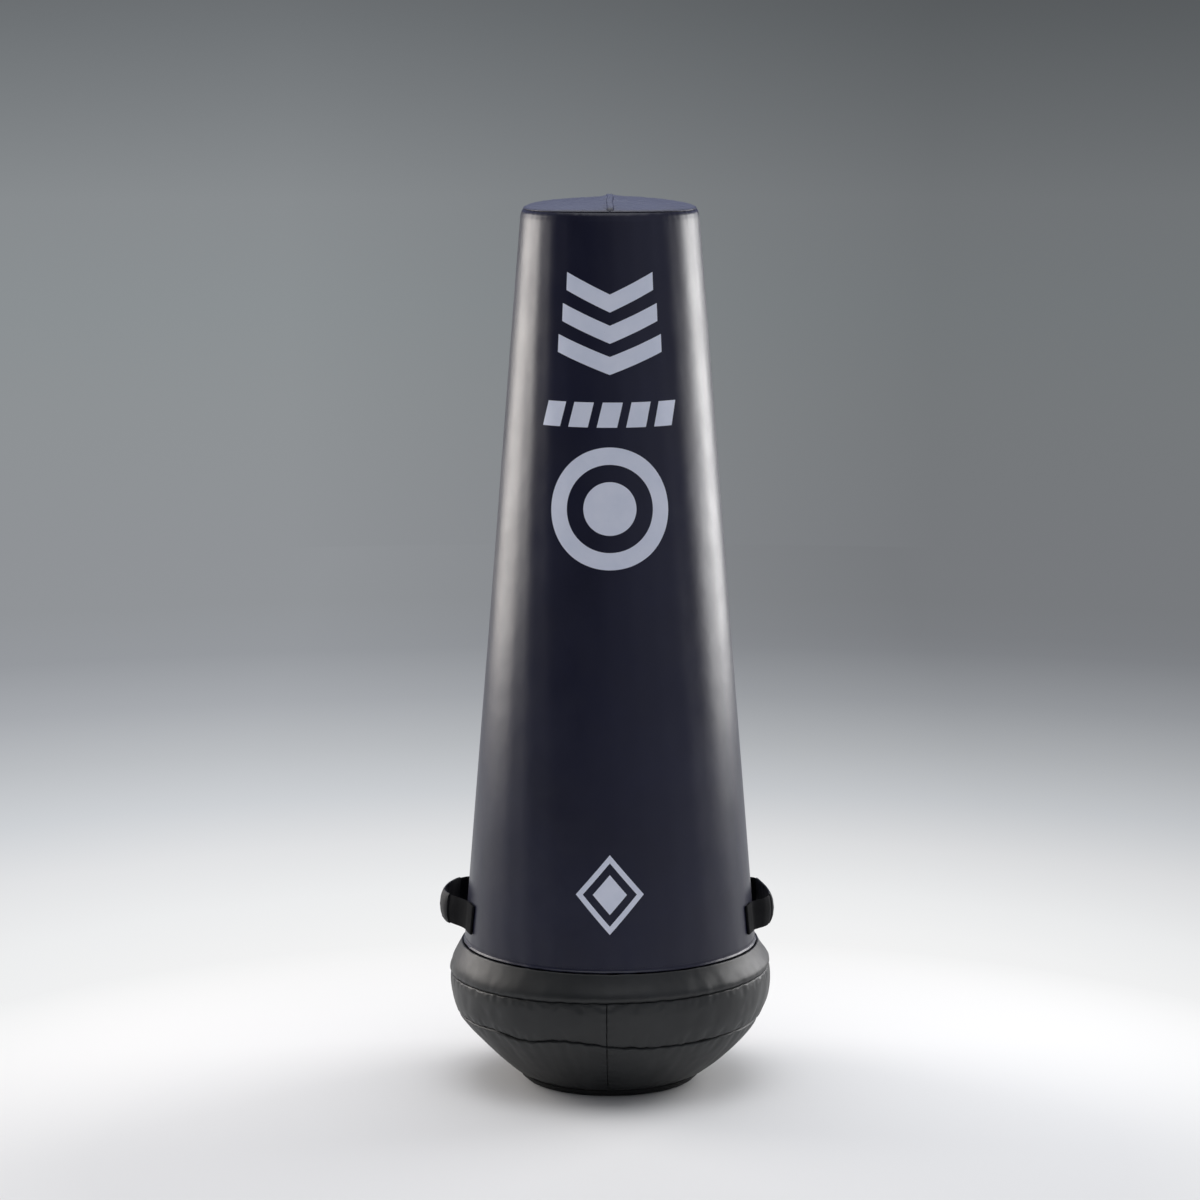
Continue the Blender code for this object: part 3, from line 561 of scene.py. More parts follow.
cone_lumps = waves(3, 7, 2, 9)
cone_ripple = waves(5, 9, 14, 34)
hem_ripple = waves(8, 9, 18, 46)
rim_pucker = waves(11, 12, 34, 90)
cone_lump_depth = 0.0007
cone_ripple_depth = 0.00025
hem_ripple_depth, hem_ripple_reach = 0.0006, 0.018
rim_pucker_depth, rim_pucker_reach = 0.0002, 0.012
hem_bead, hem_bead_lift, hem_bead_reach = 0.0020, 0.0028, 0.0017
hem_turn_radius = 0.0012
rim_wave_reach = 0.035
slot_fold, slot_fold_edge, slot_fold_round = 0.0003, 0.0075, 0.0011


def cone_radius(height):
    """Radius of the cone cover at a height."""
    return cone_top_radius + cone_slope * (rim_height - height)


def cone_swell(angle, height):
    """How far the cover stands proud of the plain cone."""
    swell = cone_lump_depth * cone_lumps(angle, height * 3.1)
    swell = swell + cone_ripple_depth * cone_ripple(angle, height * 7.0)
    near_hem = np.exp(-(height - hem_height) / hem_ripple_reach)
    near_rim = np.exp(-(rim_height - 0.008 - height) / rim_pucker_reach)
    swell = swell + hem_ripple_depth * hem_ripple(angle) * near_hem
    return swell + rim_pucker_depth * rim_pucker(angle) * near_rim


def rim_wave(angle):
    """The rim stands higher at the front and rear, where the top seam ends, than at the sides."""
    return rim_wave_height * np.cos(2 * angle) + rim_pucker_depth * rim_pucker(angle, 1.0)


def rim_edge(turn):
    """Radius and height on the rounded rim, at an angle up its arc."""
    return (rim_centre_radius + rim_edge_radius * cos(turn),
            rim_centre_height + rim_edge_radius * sin(turn))


def cone_point(angle, height, lift=0.0):
    """A point on the cover, or just off it."""
    return round_axis(cone_radius(height) + cone_swell(angle, height) + lift, angle, height)


def make_cone():
    """The navy cover, from the rim seam down to the turned hem, slotted for the zip."""
    turns = (*np.radians([50, 49, 47.5]), *np.linspace(radians(44), cone_lean, 9))
    rows = [rim_edge(turn) for turn in turns]
    slot_low = hem_height + zip_lift - zip_slot_margin
    slot_high = slot_low + zip_height + 2 * zip_slot_margin
    heights = [
        *np.arange(rows[-1][1] - 0.004, rim_height - 0.03, -0.004),
        *np.linspace(rim_height - 0.034, slot_high, 40),
        *np.linspace(slot_high, slot_low, 110)[1:],
        *np.linspace(slot_low, hem_height + 0.006, 14)[1:],
        *(hem_height + up for up in (0.0056, 0.0052, 0.0048, 0.0044, 0.004, 0.0035, 0.003, 0.0025)),
    ]
    rows += [(cone_radius(z), z) for z in heights]
    for turn in np.radians((20, 45, 70, 90)):
        rows.append((cone_foot_radius - hem_turn_radius * (1 - cos(turn)),
                     hem_height + hem_bead - hem_turn_radius * sin(turn)))
    columns, fill = 300, 5
    width = columns + fill - 2
    points, faces = [], []
    for radius, z in rows:
        start = asin(zip_slot_half / radius)
        outer = pi + start + np.linspace(0, tau - 2 * start, columns)
        inner = pi - start + np.linspace(0, 2 * start, fill)[1:-1]
        angle = np.concatenate([outer, inner]) % tau
        swell = cone_swell(angle, z) + hem_bead * bell(z - hem_height - hem_bead_lift, hem_bead_reach)
        if slot_low <= z <= slot_high:
            side = np.minimum(abs(outer - outer[0]), abs(outer[-1] - outer)) * radius
            fold = slot_fold * (1 - np.tanh((side - slot_fold_edge) / 0.001))
            swell[:columns] += fold - 0.7 * pinch(side, slot_fold_round)
        rise = rim_wave(angle) * bell(rim_height - z, rim_wave_reach)
        points.extend(round_axis(radius + swell, angle, z + rise))
    in_slot = [slot_low - 1e-6 <= z <= slot_high + 1e-6 for _, z in rows]
    for i in range(len(rows) - 1):
        for k in range(columns - 1 if in_slot[i] and in_slot[i + 1] else width):
            a, b = i * width + k, i * width + (k + 1) % width
            faces.append((a, a + width, b + width, b))
    cover = thicken(add_mesh("cone_skin", points, faces, navy_vinyl), cover_thickness)
    place_piece(cover, "navy_vinyl", "cone_cover", pad=0.95)


# Top

crown_pucker = waves(21, 14, 30, 84)
crown_lumps = waves(23, 6, 2, 7)
ridge_half = 0.0065
ridge_height = 0.0062
ridge_lift = 0.0024
ridge_reach = cone_top_radius - 0.0035
ridge_crease = 0.0012
top_seam_reach = 0.014
top_pucker_depth, top_pucker_reach = 0.0016, 0.011
top_stitch_depth = 0.0007
top_lump_depth = 0.0013
crinkle_depth = 0.0006
top_wave_reach = 0.05
top_gap = 0.0006


def crown_height(radius):
    """Height of the top above the floor at a distance from the axis."""
    return rim_height + crown_rise * (1 - (np.minimum(radius, rim_centre_radius) / rim_centre_radius) ** 2)


def crinkle(x, y):
    """Small dents of a skin laid over foam, as a sum of plane waves."""
    rng = np.random.default_rng(25)
    count, total = 26, 0 * x
    for _ in range(count):
        turn, pitch, phase = rng.uniform(0, tau), rng.uniform(0.018, 0.05), rng.uniform(0, tau)
        total = total + np.cos(tau / pitch * (x * cos(turn) + y * sin(turn)) + phase)
    return total / sqrt(2 * count)


def off_rim(radius):
    """Fades from 1 over the crown to 0 at the rim seam."""
    return 1 - bell(max(rim_seam_radius - radius, 0), 0.010)


def make_top():
    """Two half discs that rise to the seam between them, puckered round the rim."""
    rows = [(r, float(crown_height(r))) for r in np.linspace(0.0, rim_centre_radius, 60)]
    rows += [rim_edge(turn) for turn in np.radians((85, 80, 75, 70, 65, 60, 56, 53.5, 52, 51))]
    bearing = np.linspace(0, pi, 150)
    for side_name, side in sides:
        angle = side * bearing
        points = []
        for radius, z in rows:
            joined = max(radius - rim_centre_radius, 0) / (rim_seam_radius - rim_centre_radius)
            spread = radius + joined * cone_swell(angle, z)
            x, y = side * spread * np.sin(bearing), -spread * np.cos(bearing)
            across, inwards = np.abs(x), cone_top_radius - radius
            near = bell(across, top_seam_reach)
            gather = top_pucker_depth * exp(-max(inwards, 0) / top_pucker_reach)
            rise = ridge_lift * near + gather * crown_pucker(angle)
            stitches = np.sin(y / 0.0032 + 2 * np.sin(y * 55)) * (across > 0.004)
            rise = rise + top_stitch_depth * stitches * near
            rise = rise + top_lump_depth * crown_lumps(angle, radius * 20) * min(radius / 0.05, 1)
            rise = (rise + crinkle_depth * crinkle(x, y)) * off_rim(radius)
            rise = rise + rim_wave(angle) * bell(inwards, top_wave_reach)
            x = x + top_gap * side * (across < top_gap)
            points.extend(np.stack([x, y, z + rise], axis=-1))
        faces = grid_faces(len(rows), len(bearing), flip=side < 0)
        panel = thicken(add_mesh(f"top_half_{side_name}", points, faces, navy_vinyl), cover_thickness)
        place_piece(panel, "navy_vinyl", f"top_panel_{side_name}", pad=0.9)


def make_ridge():
    """The raised seam over the crown and the rim: two rolls of vinyl and the line between."""
    stations, ring = 180, 26
    points = []
    for y in ridge_reach * np.linspace(-1, 1, stations):
        radius = abs(y)
        past = max(radius - rim_seam_radius + 0.003, 0) / (ridge_reach - rim_seam_radius + 0.003)
        height = (ridge_height - ridge_lift * (1 - off_rim(radius))) * (1 - 0.8 * past**2)
        height *= 1 + 0.10 * sin(y * 310 + 1.3 * sin(y * 90))
        half = ridge_half * (1 - 0.3 * past) * (1 + 0.05 * sin(y * 240 + 1))
        over = min(max(radius - rim_centre_radius, 0), rim_edge_radius)
        base = float(crown_height(radius)) - rim_edge_radius + sqrt(rim_edge_radius**2 - over**2)
        base += rim_wave_height * bell(cone_top_radius - radius, top_wave_reach) + 0.0003 - 0.0006 * past
        for k in range(ring):
            a = tau * k / ring
            x = half * copysign(abs(cos(a)) ** 0.8, cos(a))
            up = sin(a)
            top = 0.0005 * up
            if up > 0:
                top = height * (up**0.7 - 0.42 * bell(x, ridge_crease))
            points.append((x + 0.0007 * sin(y * 38), y, base + top))
    ridge = add_tube("top_ridge", points, stations, ring, navy_vinyl, flip=True)
    place_piece(ridge, "navy_vinyl", "top_seam")


# Base cover

# Rise of the mid seam and of the shoulder seam, in millimetres, at angles from the front in degrees
mid_seam_wander = (
    (-180, -1), (-150, 5), (-120, -3), (-95, 1), (-80, 3), (-62, 5), (-48, 8), (-36, 0), (-29, 2),
    (-20, 9), (-11, 8), (-3, 3), (2, 0), (15, -4), (32, -3.5), (48, -1.5), (65, -1), (82, -3.5),
    (100, 2), (125, 6), (150, -2), (180, -1),
)
shoulder_wander = ((-180, 0), (-130, -4), (-90, -9), (-45, -5), (0, 0), (45, 2), (90, 5), (135, 3), (180, 0))

seam_shift = radians(-1.1)
seam_gap = 0.0009
edge_tuck = 0.006
seam_jitter = waves(41, 14, 24, 70)
seam_weight = waves(61, 9, 5, 18)
base_lumps = waves(31, 8, 3, 11)
base_folds = waves(33, 12, 12, 40)
seam_pucker = waves(35, 16, 50, 130)
seam_pucker_low = waves(37, 12, 22, 60)
top_patches, low_patches = 51, 68
lump_depth = 0.0011
fold_depth = 0.0008
right_fullness = 0.0021
fine_pucker, coarse_pucker = 0.0015, 0.0014
seam_draw = 0.0010
mid_seam_draw = 0.0016
upper_edge_round, mid_edge_less = 0.0024, 0.0013
lower_edge_round = 0.0075
end_round, end_draw, end_ripple = 0.0025, 0.0007, 0.0007
shoulder_left_belly, shoulder_right_belly = 0.0086, 0.0105
shoulder_round, shoulder_draw = 0.0032, 0.0008


def wander(table, angle):
    """A smooth curve through the table at an angle in radians, in metres."""
    degrees = (np.degrees(angle) + 180) % 360 - 180
    spread = np.linspace(-180, 180, 721)
    curve = np.interp(spread, *np.array(table, float).T)
    kernel = np.hanning(9)
    curve = np.convolve(np.concatenate([curve[-5:-1], curve, curve[1:5]]), kernel / kernel.sum(), "same")
    return np.interp(degrees, spread, curve[4:-4]) / 1000


def shoulder_seam(angle):
    """Radius and height of the seam at the widest part of the base."""
    rise = wander(shoulder_wander, angle)
    radius = base_radius - np.where(rise > 0, 0.336, -0.21) * rise
    return radius, shoulder_seam_height + rise + 0.0005 * seam_jitter(angle, 1.0)


def mid_seam(angle):
    """Radius and height of the seam between the two rows of panels."""
    rise = wander(mid_seam_wander, angle)
    radius = mid_seam_radius + 0.003 + np.where(rise > 0, 0.21, 1.02) * rise
    return radius, mid_seam_height + rise + 0.0007 * seam_jitter(angle)


def foot_seam(angle):
    """Radius and height of the lower edge of the base cover."""
    return foot_top_radius + 0 * angle, foot_seam_height + 0 * angle


def half_gap(seam, angle):
    """Half the width of the dark line that a seam leaves between its two panels."""
    if seam is not mid_seam:
        return seam_gap + 0 * angle
    return seam_gap * (1.0 + 0.9 * np.sin(angle) ** 2 + 1.3 * np.clip(seam_weight(angle), 0, 1.2))


def puckers(angle, near, fine, fine_phase, coarse, coarse_phase, reach):
    """Folds that run out from a seam: fine ones close to it, and wider ones further out."""
    folds = fine * seam_pucker(angle, fine_phase) * np.exp(-near / 0.007)
    return folds + coarse * seam_pucker_low(angle, coarse_phase) * np.exp(-near / reach)


cloth_frames = 12
cloth_reach = 0.0022
cloth_settings = {
    "quality": 5, "mass": 0.25, "tension_stiffness": 20, "compression_stiffness": 20,
    "shear_stiffness": 6, "bending_stiffness": 0.8, "vertex_group_mass": "sewn",
    "use_pressure": True, "uniform_pressure_force": 0.4, "shrink_min": -0.005,
}


def settle(panel, sewn):
    """Let a panel puff and buckle between its sewn edges, a little way, by a cloth run of its own."""
    started = np.array([v.co for v in panel.data.vertices])
    panel.vertex_groups.new(name="sewn").add(sewn, 1.0, "REPLACE")
    settings = panel.modifiers.new("cloth", "CLOTH").settings
    for key, value in cloth_settings.items():
        setattr(settings, key, value)
    settings.effector_weights.gravity = 0
    for number in range(1, cloth_frames + 1):
        bpy.context.scene.frame_set(number)
    applied(panel)
    bpy.context.scene.frame_set(1)
    moved = np.array([v.co for v in panel.data.vertices]) - started
    size = np.maximum(np.linalg.norm(moved, axis=1, keepdims=True), 1e-9)
    kept = started + moved * (cloth_reach * np.tanh(size / cloth_reach) / size)
    panel.data.vertices.foreach_set("co", kept.astype(np.float32).ravel())
    panel.data.update()


def make_row(name, node, top, bottom, bulge, rows, start):
    """A stuffed panel between two seams, drawn in at every edge and puckered there."""
    stop = start + pi
    close = np.array([0, 0.0003, 0.0008, 0.0015, 0.0024, 0.0035, 0.005, 0.007, 0.0095]) / base_radius
    middle = np.linspace(start + 0.045, stop - 0.045, 270)
    angle = np.concatenate([start + close, middle, (stop - close)[::-1]])
    sideways = np.sin(angle) ** 2
    top_r, top_z = top(angle)
    low_r, low_z = bottom(angle)
    length = np.hypot(top_r - low_r, top_z - low_z)
    out_r, out_z = (top_z - low_z) / length, (low_r - top_r) / length
    top_gap, low_gap = half_gap(top, angle) / length, half_gap(bottom, angle) / length
    lowest = top is mid_seam
    edge_round = upper_edge_round - mid_edge_less * lowest * sideways
    shares = [0.0, 0.0, *(0.5 - 0.5 * np.cos(np.linspace(0.1, pi - 0.1, rows))), 1.0, 1.0]
    points = []
    for i, share in enumerate(shares):
        up_near, low_near = share * length, (1 - share) * length
        at = top_gap + share * (1 - top_gap - low_gap)
        flat_r, flat_z = top_r + (low_r - top_r) * at, top_z + (low_z - top_z) * at
        belly = sin(pi * share)
        swell = bulge * 4 * share * (1 - share)
        swell = swell + (lump_depth * base_lumps(angle, share * 2.2) + right_fullness * np.sin(angle)) * belly
        swell = swell + fold_depth * base_folds(angle, share * 3.0) * belly
        swell = swell - mid_seam_draw * lowest * sideways * np.exp(-up_near / 0.005)
        for near, patches, phase, size, round_off in (
            (up_near, top_patches, 0.0, 0.35, edge_round),
            (low_near, low_patches, 1.7, 0.8, lower_edge_round),
        ):
            amount = size * patchy(angle, patches)
            fine, coarse = fine_pucker * amount, coarse_pucker * amount
            swell = swell + puckers(angle, near, fine, phase, coarse, phase, 0.018)
            swell = swell - pinch(near, round_off) - seam_draw * size * np.exp(-near / 0.004)
        for near in ((angle - start) * flat_r, (stop - angle) * flat_r):
            ripple = end_ripple * np.sin(share * length * 390 + 1.1) * np.exp(-near / 0.007)
            swell = swell + ripple - pinch(near, end_round) - end_draw * np.exp(-near / 0.008)
        if i in (0, len(shares) - 1):
            swell = swell - edge_tuck
        points.extend(round_axis(flat_r + out_r * swell, angle, flat_z + out_z * swell))
    height, width, band = len(shares), len(angle), 3
    panel = add_mesh(name, points, grid_faces(height, width, flip=True), black_vinyl)
    sewn = [i * width + j for i in range(height) for j in range(width)
            if min(i, j) < band or i > height - 1 - band or j > width - 1 - band]
    settle(panel, sewn)
    thicken(panel, base_skin_thickness)
    place_piece(panel, "black_vinyl", node, pad=0.85)


def make_shoulder():
    """The band that folds over close under the hem and slopes out to the widest seam."""
    columns = 440
    angle = np.linspace(0, tau, columns, endpoint=False)
    left = np.maximum(-np.sin(angle), 0)
    seam_r, seam_z = shoulder_seam(angle)
    ripple = 0.0003 * hem_ripple(angle, 0.7)
    profile = [(r, lip_height - 0.0032) for r in (lip_radius, 0.24, 0.25, 0.2542)]
    crest_r, crest_z, turn_radius = 0.2574, lip_height - 0.0020, 0.0026
    for turn in np.radians((160, 140, 120, 105, 90, 76, 62, 50, 42)):
        profile.append((crest_r + turn_radius * cos(turn),
                        crest_z + turn_radius * sin(turn) + ripple))
    from_r, from_z = profile[-1]
    length = np.hypot(seam_r - from_r, from_z - seam_z)
    out_r, out_z = (from_z - seam_z) / length, (seam_r - from_r) / length
    amount = 0.7 * patchy(angle, top_patches)
    for share in (*np.linspace(0.04, 0.9, 24), 0.93, 0.955, 0.975, 0.99, 1.0, 1.0):
        near = (1 - share) * length
        swell = left * shoulder_left_belly * share * (1 - share**4)
        swell = swell + (1 - left) * shoulder_right_belly * share**2 * (1 - share**6)
        swell = swell + 0.0009 * base_lumps(angle, 4.0 + share) * share
        swell = swell + 0.0006 * base_folds(angle, 6.0 + share * 2) * share
        swell = swell + puckers(angle, near, 0.0013 * amount, 0.4, 0.0012 * amount, 0.2, 0.016)
        swell = swell - pinch(near, shoulder_round) - shoulder_draw * np.exp(-near / 0.004)
        at = share * (1 - seam_gap / length)
        profile.append((from_r + (seam_r - from_r) * at + out_r * swell,
                        from_z + (seam_z - from_z) * at + out_z * swell))
    last_r, last_z = profile[-1]
    profile[-1] = (last_r - edge_tuck, last_z)
    points = [point for r, z in profile for point in round_axis(r, angle, z)]
    faces = grid_faces(len(profile), columns, True, flip=True)
    band = thicken(add_mesh("shoulder_skin", points, faces, black_vinyl), base_skin_thickness)
    place_piece(band, "black_vinyl", "shoulder_band", pad=0.9)


def make_base():
    """The black cover of the base: shoulder and two rows of half panels."""
    make_shoulder()
    for side, start in (("left", seam_shift - pi), ("right", seam_shift)):
        for row, top, bottom, bulge, rows in (
            ("upper", shoulder_seam, mid_seam, 0.0045, 40), ("lower", mid_seam, foot_seam, 0.0048, 48)
        ):
            make_row(f"base_{row}_{side}", f"base_{row}_panel_{side}", top, bottom, bulge, rows, start)


def lathe(name, outline, material, segments):
    """A closed turned piece from an outline in (radius, height) that runs down its outer side."""
    angle = np.linspace(0, tau, segments, endpoint=False)
    points = [point for r, z in outline for point in round_axis(r, angle, z)]
    piece = add_mesh(name, points, grid_faces(len(outline), segments, True, flip=True), material)
    edited(piece, lambda edit: bmesh.ops.remove_doubles(edit, verts=edit.verts, dist=0.000005))
    return soft_angle(piece, 40)


def rounded(points, radius, steps=4):
    """An outline with each inner corner replaced by a small arc."""
    out = [points[0]]
    for before, at, after in zip(points, points[1:], points[2:]):
        a, p, b = Vector(before), Vector(at), Vector(after)
        reach = min(radius, (a - p).length / 2.1, (b - p).length / 2.1)
        first, last = p + (a - p).normalized() * reach, p + (b - p).normalized() * reach
        for i in range(steps + 1):
            t = i / steps
            out.append(tuple(first * (1 - t) ** 2 + p * 2 * t * (1 - t) + last * t * t))
    return out + [points[-1]]


def make_foot():
    """The moulded rubber foot, with a shallow groove round its edge."""
    outline = [
        (0.0, foot_thickness), (foot_top_radius, foot_thickness), (foot_top_radius - 0.0012, 0.0075),
        (foot_top_radius - 0.0032, 0.0066), (foot_radius + 0.0012, 0.0022), (foot_radius - 0.0022, 0.0),
        (0.0, 0.0),
    ]
    foot = lathe("foot_pad", rounded(outline, 0.0014), rubber, 192)
    place_piece(foot, "foot_rubber", "foot_disc")


make_cone()
make_top()
make_ridge()
make_base()
make_foot()


# Stitching

thread_sides = 5


def radial(point):
    """Straight out from the bag's axis."""
    return Vector((point.x, point.y, 0.08 * hypot(point.x, point.y)))


def sew(name, line, body="bag", slot="navy_vinyl", material=navy_thread, normal_of=radial,
        pitch=0.0038, length=0.0029, radius=0.00038):
    """A row of short threads along a line of points, each bowed over the surface."""
    coords = np.array([tuple(p) for p in line])
    marks = np.concatenate([[0], np.cumsum(np.linalg.norm(np.diff(coords, axis=0), axis=1))])
    total = marks[-1]
    count = max(int(total / pitch), 1)
    points, faces = [], []

    def at(distance):
        return Vector([float(np.interp(distance, marks, coords[:, k])) for k in range(3)])

    for i in range(count):
        middle = (i + 0.5) * total / count
        a, b = at(middle - length / 2), at(middle + length / 2)
        normal = Vector(normal_of((a + b) / 2)).normalized()
        across = (b - a).normalized().cross(normal).normalized()
        first = len(points)
        for t, lift, size in ((0, -0.0003, 0.5), (0.18, 0.0002, 1), (0.82, 0.0002, 1), (1, -0.0003, 0.5)):
            centre = a.lerp(b, t) + normal * lift
            for turn in np.arange(thread_sides) * tau / thread_sides:
                points.append(centre + (across * cos(turn) + normal * sin(turn)) * radius * size)
        faces += [tuple(first + k for k in quad) for quad in grid_faces(4, thread_sides, True)]
    place_piece(add_mesh(name, points, faces, material), slot, body=body)


def make_cover_stitches():
    """Thread beside the zip and round the hem."""
    low = hem_height + zip_lift - 0.004
    high = low + zip_height + 0.008
    for side_name, side in sides:
        for row, gap in (("inner", 0.0026), ("outer", 0.0060)):
            line = [cone_point(pi - side * (zip_slot_half + gap) / cone_radius(z), z, 0.0006)
                    for z in np.linspace(low, high, 120)]
            sew(f"zip_thread_{side_name}_{row}", line)
    for place_name, z in (("low", low - 0.002), ("high", high + 0.002)):
        line = [cone_point(pi + x / cone_radius(z), z, 0.0002) for x in np.linspace(-0.0125, 0.0125, 12)]
        sew(f"zip_bar_tack_{place_name}", line, pitch=0.0022, length=0.002)
    hem = [cone_point(a, hem_height + 0.0095, 0.00005) for a in np.linspace(0, tau, 500)]
    sew("hem_thread", hem, pitch=0.0042, length=0.0032)


make_cover_stitches()


# Printed marks, plain shapes only

print_lift = 0.00022
print_cell = 0.004


def print_mark(name, loops, height):
    """Flat closed loops, in metres round the cone and up it, laid on the cover at a height."""
    edit = bmesh.new()
    for loop in loops:
        corners = [edit.verts.new((x, y, 0)) for x, y in loop]
        for a, b in zip(corners, corners[1:] + corners[:1]):
            edit.edges.new((a, b))
    bmesh.ops.triangle_fill(edit, use_beauty=True, use_dissolve=False, edges=edit.edges[:])
    for axis in (0, 1):
        span = [v.co[axis] for v in edit.verts]
        for cut in np.arange(min(span) + print_cell, max(span), print_cell):
            normal, at = [0, 0, 0], [0, 0, 0]
            normal[axis], at[axis] = 1, cut
            geometry = edit.verts[:] + edit.edges[:] + edit.faces[:]
            bmesh.ops.bisect_plane(edit, geom=geometry, plane_co=at, plane_no=normal, dist=1e-7)
    points = [cone_point(v.co.x / cone_radius(height), height + v.co.y, print_lift) for v in edit.verts]
    edit.verts.index_update()
    faces = []
    for face in edit.faces:
        corners = [v.index for v in face.verts]
        faces.append(tuple(corners) if face.normal.z < 0 else tuple(corners[::-1]))
    edit.free()
    mark = add_mesh(name, points, faces, ink)
    if mark.data.polygons[0].normal.y > 0:
        mark.data.flip_normals()
    place_piece(mark, "navy_vinyl")


def ring(radius, steps=96):
    """A circle of points."""
    return [(radius * cos(tau * i / steps), radius * sin(tau * i / steps))
            for i in range(steps)]


def diamond(half_width, half_height):
    """A square stood on a corner."""
    return [(half_width, 0), (0, half_height), (-half_width, 0), (0, -half_height)]


def make_prints():
    """A row of chevrons, a row of slanted bars, a ring target and a small diamond."""
    drop, stroke = 0.036, 0.030
    for i in range(3):
        half = 0.074 + 0.008 * i
        chevron = [(-half, 0), (0, -drop), (half, 0), (half, -stroke), (0, -drop - stroke), (-half, -stroke)]
        print_mark(f"print_chevron_{i + 1}", [chevron], 1.372 + 0.052 * (1 - i))
    for i in range(5):
        x = (i - 2) * 0.049
        bar = [(x - 0.022, -0.021), (x + 0.012, -0.021), (x + 0.022, 0.021), (x - 0.012, 0.021)]
        print_mark(f"print_bar_{i + 1}", [bar], 1.187)
    print_mark("print_target_outer", [ring(0.103), ring(0.074)], 1.030)
    print_mark("print_target_inner", [ring(0.045, 72)], 1.030)
    print_mark("print_diamond_outer", [diamond(0.058, 0.068), diamond(0.046, 0.054)], 0.378)
    print_mark("print_diamond_inner", [diamond(0.029, 0.034)], 0.378)


make_prints()


# Handles

sleeve_front, sleeve_front_swell = 0.0024, 0.0034
sleeve_back, sleeve_back_swell = 0.0022, 0.0008
strap_buckle = 0.0009

# Gap between the webbing and the cone along each handle, from the front tab to the rear one
handle_gaps = {
    "left": (
        (0.1, 0), (0.094, 0.001), (0.084, 0.006), (0.074, 0.0125), (0.063, 0.023), (0.048, 0.035),
        (0.03, 0.0415), (0.01, 0.0425), (-0.02, 0.0425), (-0.048, 0.041), (-0.068, 0.035),
        (-0.08, 0.022), (-0.089, 0.009), (-0.096, 0.0015), (-0.1, 0),
    ),
    "right": (
        (0.1, 0), (0.095, 0.002), (0.088, 0.0095), (0.078, 0.021), (0.067, 0.0275), (0.05, 0.0298),
        (0.033, 0.0292), (0.013, 0.0285), (-0.01, 0.0288), (-0.03, 0.030), (-0.05, 0.033),
        (-0.063, 0.0335), (-0.075, 0.024), (-0.086, 0.009), (-0.095, 0.001), (-0.1, 0),
    ),
}
web_seat = web_thickness / 2 + seat_gap
web_sag = 0.0012


def handle_place(side):
    """Frame on the cone at a handle: X along it, Y out of the cone and Z up the cone."""
    height = hem_height + handle_lift
    bearing = handle_bearing if side > 0 else pi - handle_bearing
    outward = Vector((cos(bearing), sin(bearing), cone_slope)).normalized()
    along = Vector((sin(bearing), -cos(bearing), 0))
    place = Matrix((along, outward, along.cross(outward))).transposed().to_4x4()
    radius = cone_radius(height)
    place.translation = (radius * cos(bearing), radius * sin(bearing), height)
    return place


def cone_depth(place, along, up):
    """How far the cone lies out of a handle's frame at a place in it."""
    depth = 0.0
    for _ in range(16):
        point = place @ Vector((along, depth, up))
        depth -= (hypot(point.x, point.y) - cone_radius(point.z)) * cos(cone_lean)
    return depth


def handle_gap(side_name, ahead):
    """The webbing's distance off the cone at a place along the handle, towards the front."""
    marks, gaps = np.array(handle_gaps[side_name][::-1]).T
    spread = np.linspace(-0.13, 0.13, 521)
    kernel = np.hanning(25)
    curve = np.convolve(np.interp(spread, marks, gaps, 0, 0), kernel / kernel.sum(), "same")
    return float(np.interp(ahead, spread, curve))


def web_middle(place, side, ahead, gap):
    """Where the middle of the webbing is, in the handle's frame."""
    along = side * ahead
    tilt = along / cone_radius(place.translation.z)
    return Vector((along, cone_depth(place, along, 0))) + Vector((tilt, sqrt(1 - tilt**2))) * gap


def web_normals(middles, flip):
    """Directions square to a line of places, on the side away from the cone."""
    normals = []
    for i in range(len(middles)):
        tangent = (middles[min(i + 1, len(middles) - 1)] - middles[max(i - 1, 0)]).normalized()
        normal = Vector((-tangent.y, tangent.x))
        normals.append(-normal if flip else normal)
    return normals


def web_cup(share, free):
    """How the free webbing cups and twists, at a share of its half width."""
    return -0.0024 * free * share**2 + 0.0022 * free * share


def web_free(ahead):
    """0 where the webbing lies on its tab, and 1 from 40 mm further on."""
    return min((handle_half_span - ahead) / 0.04, 1.0)


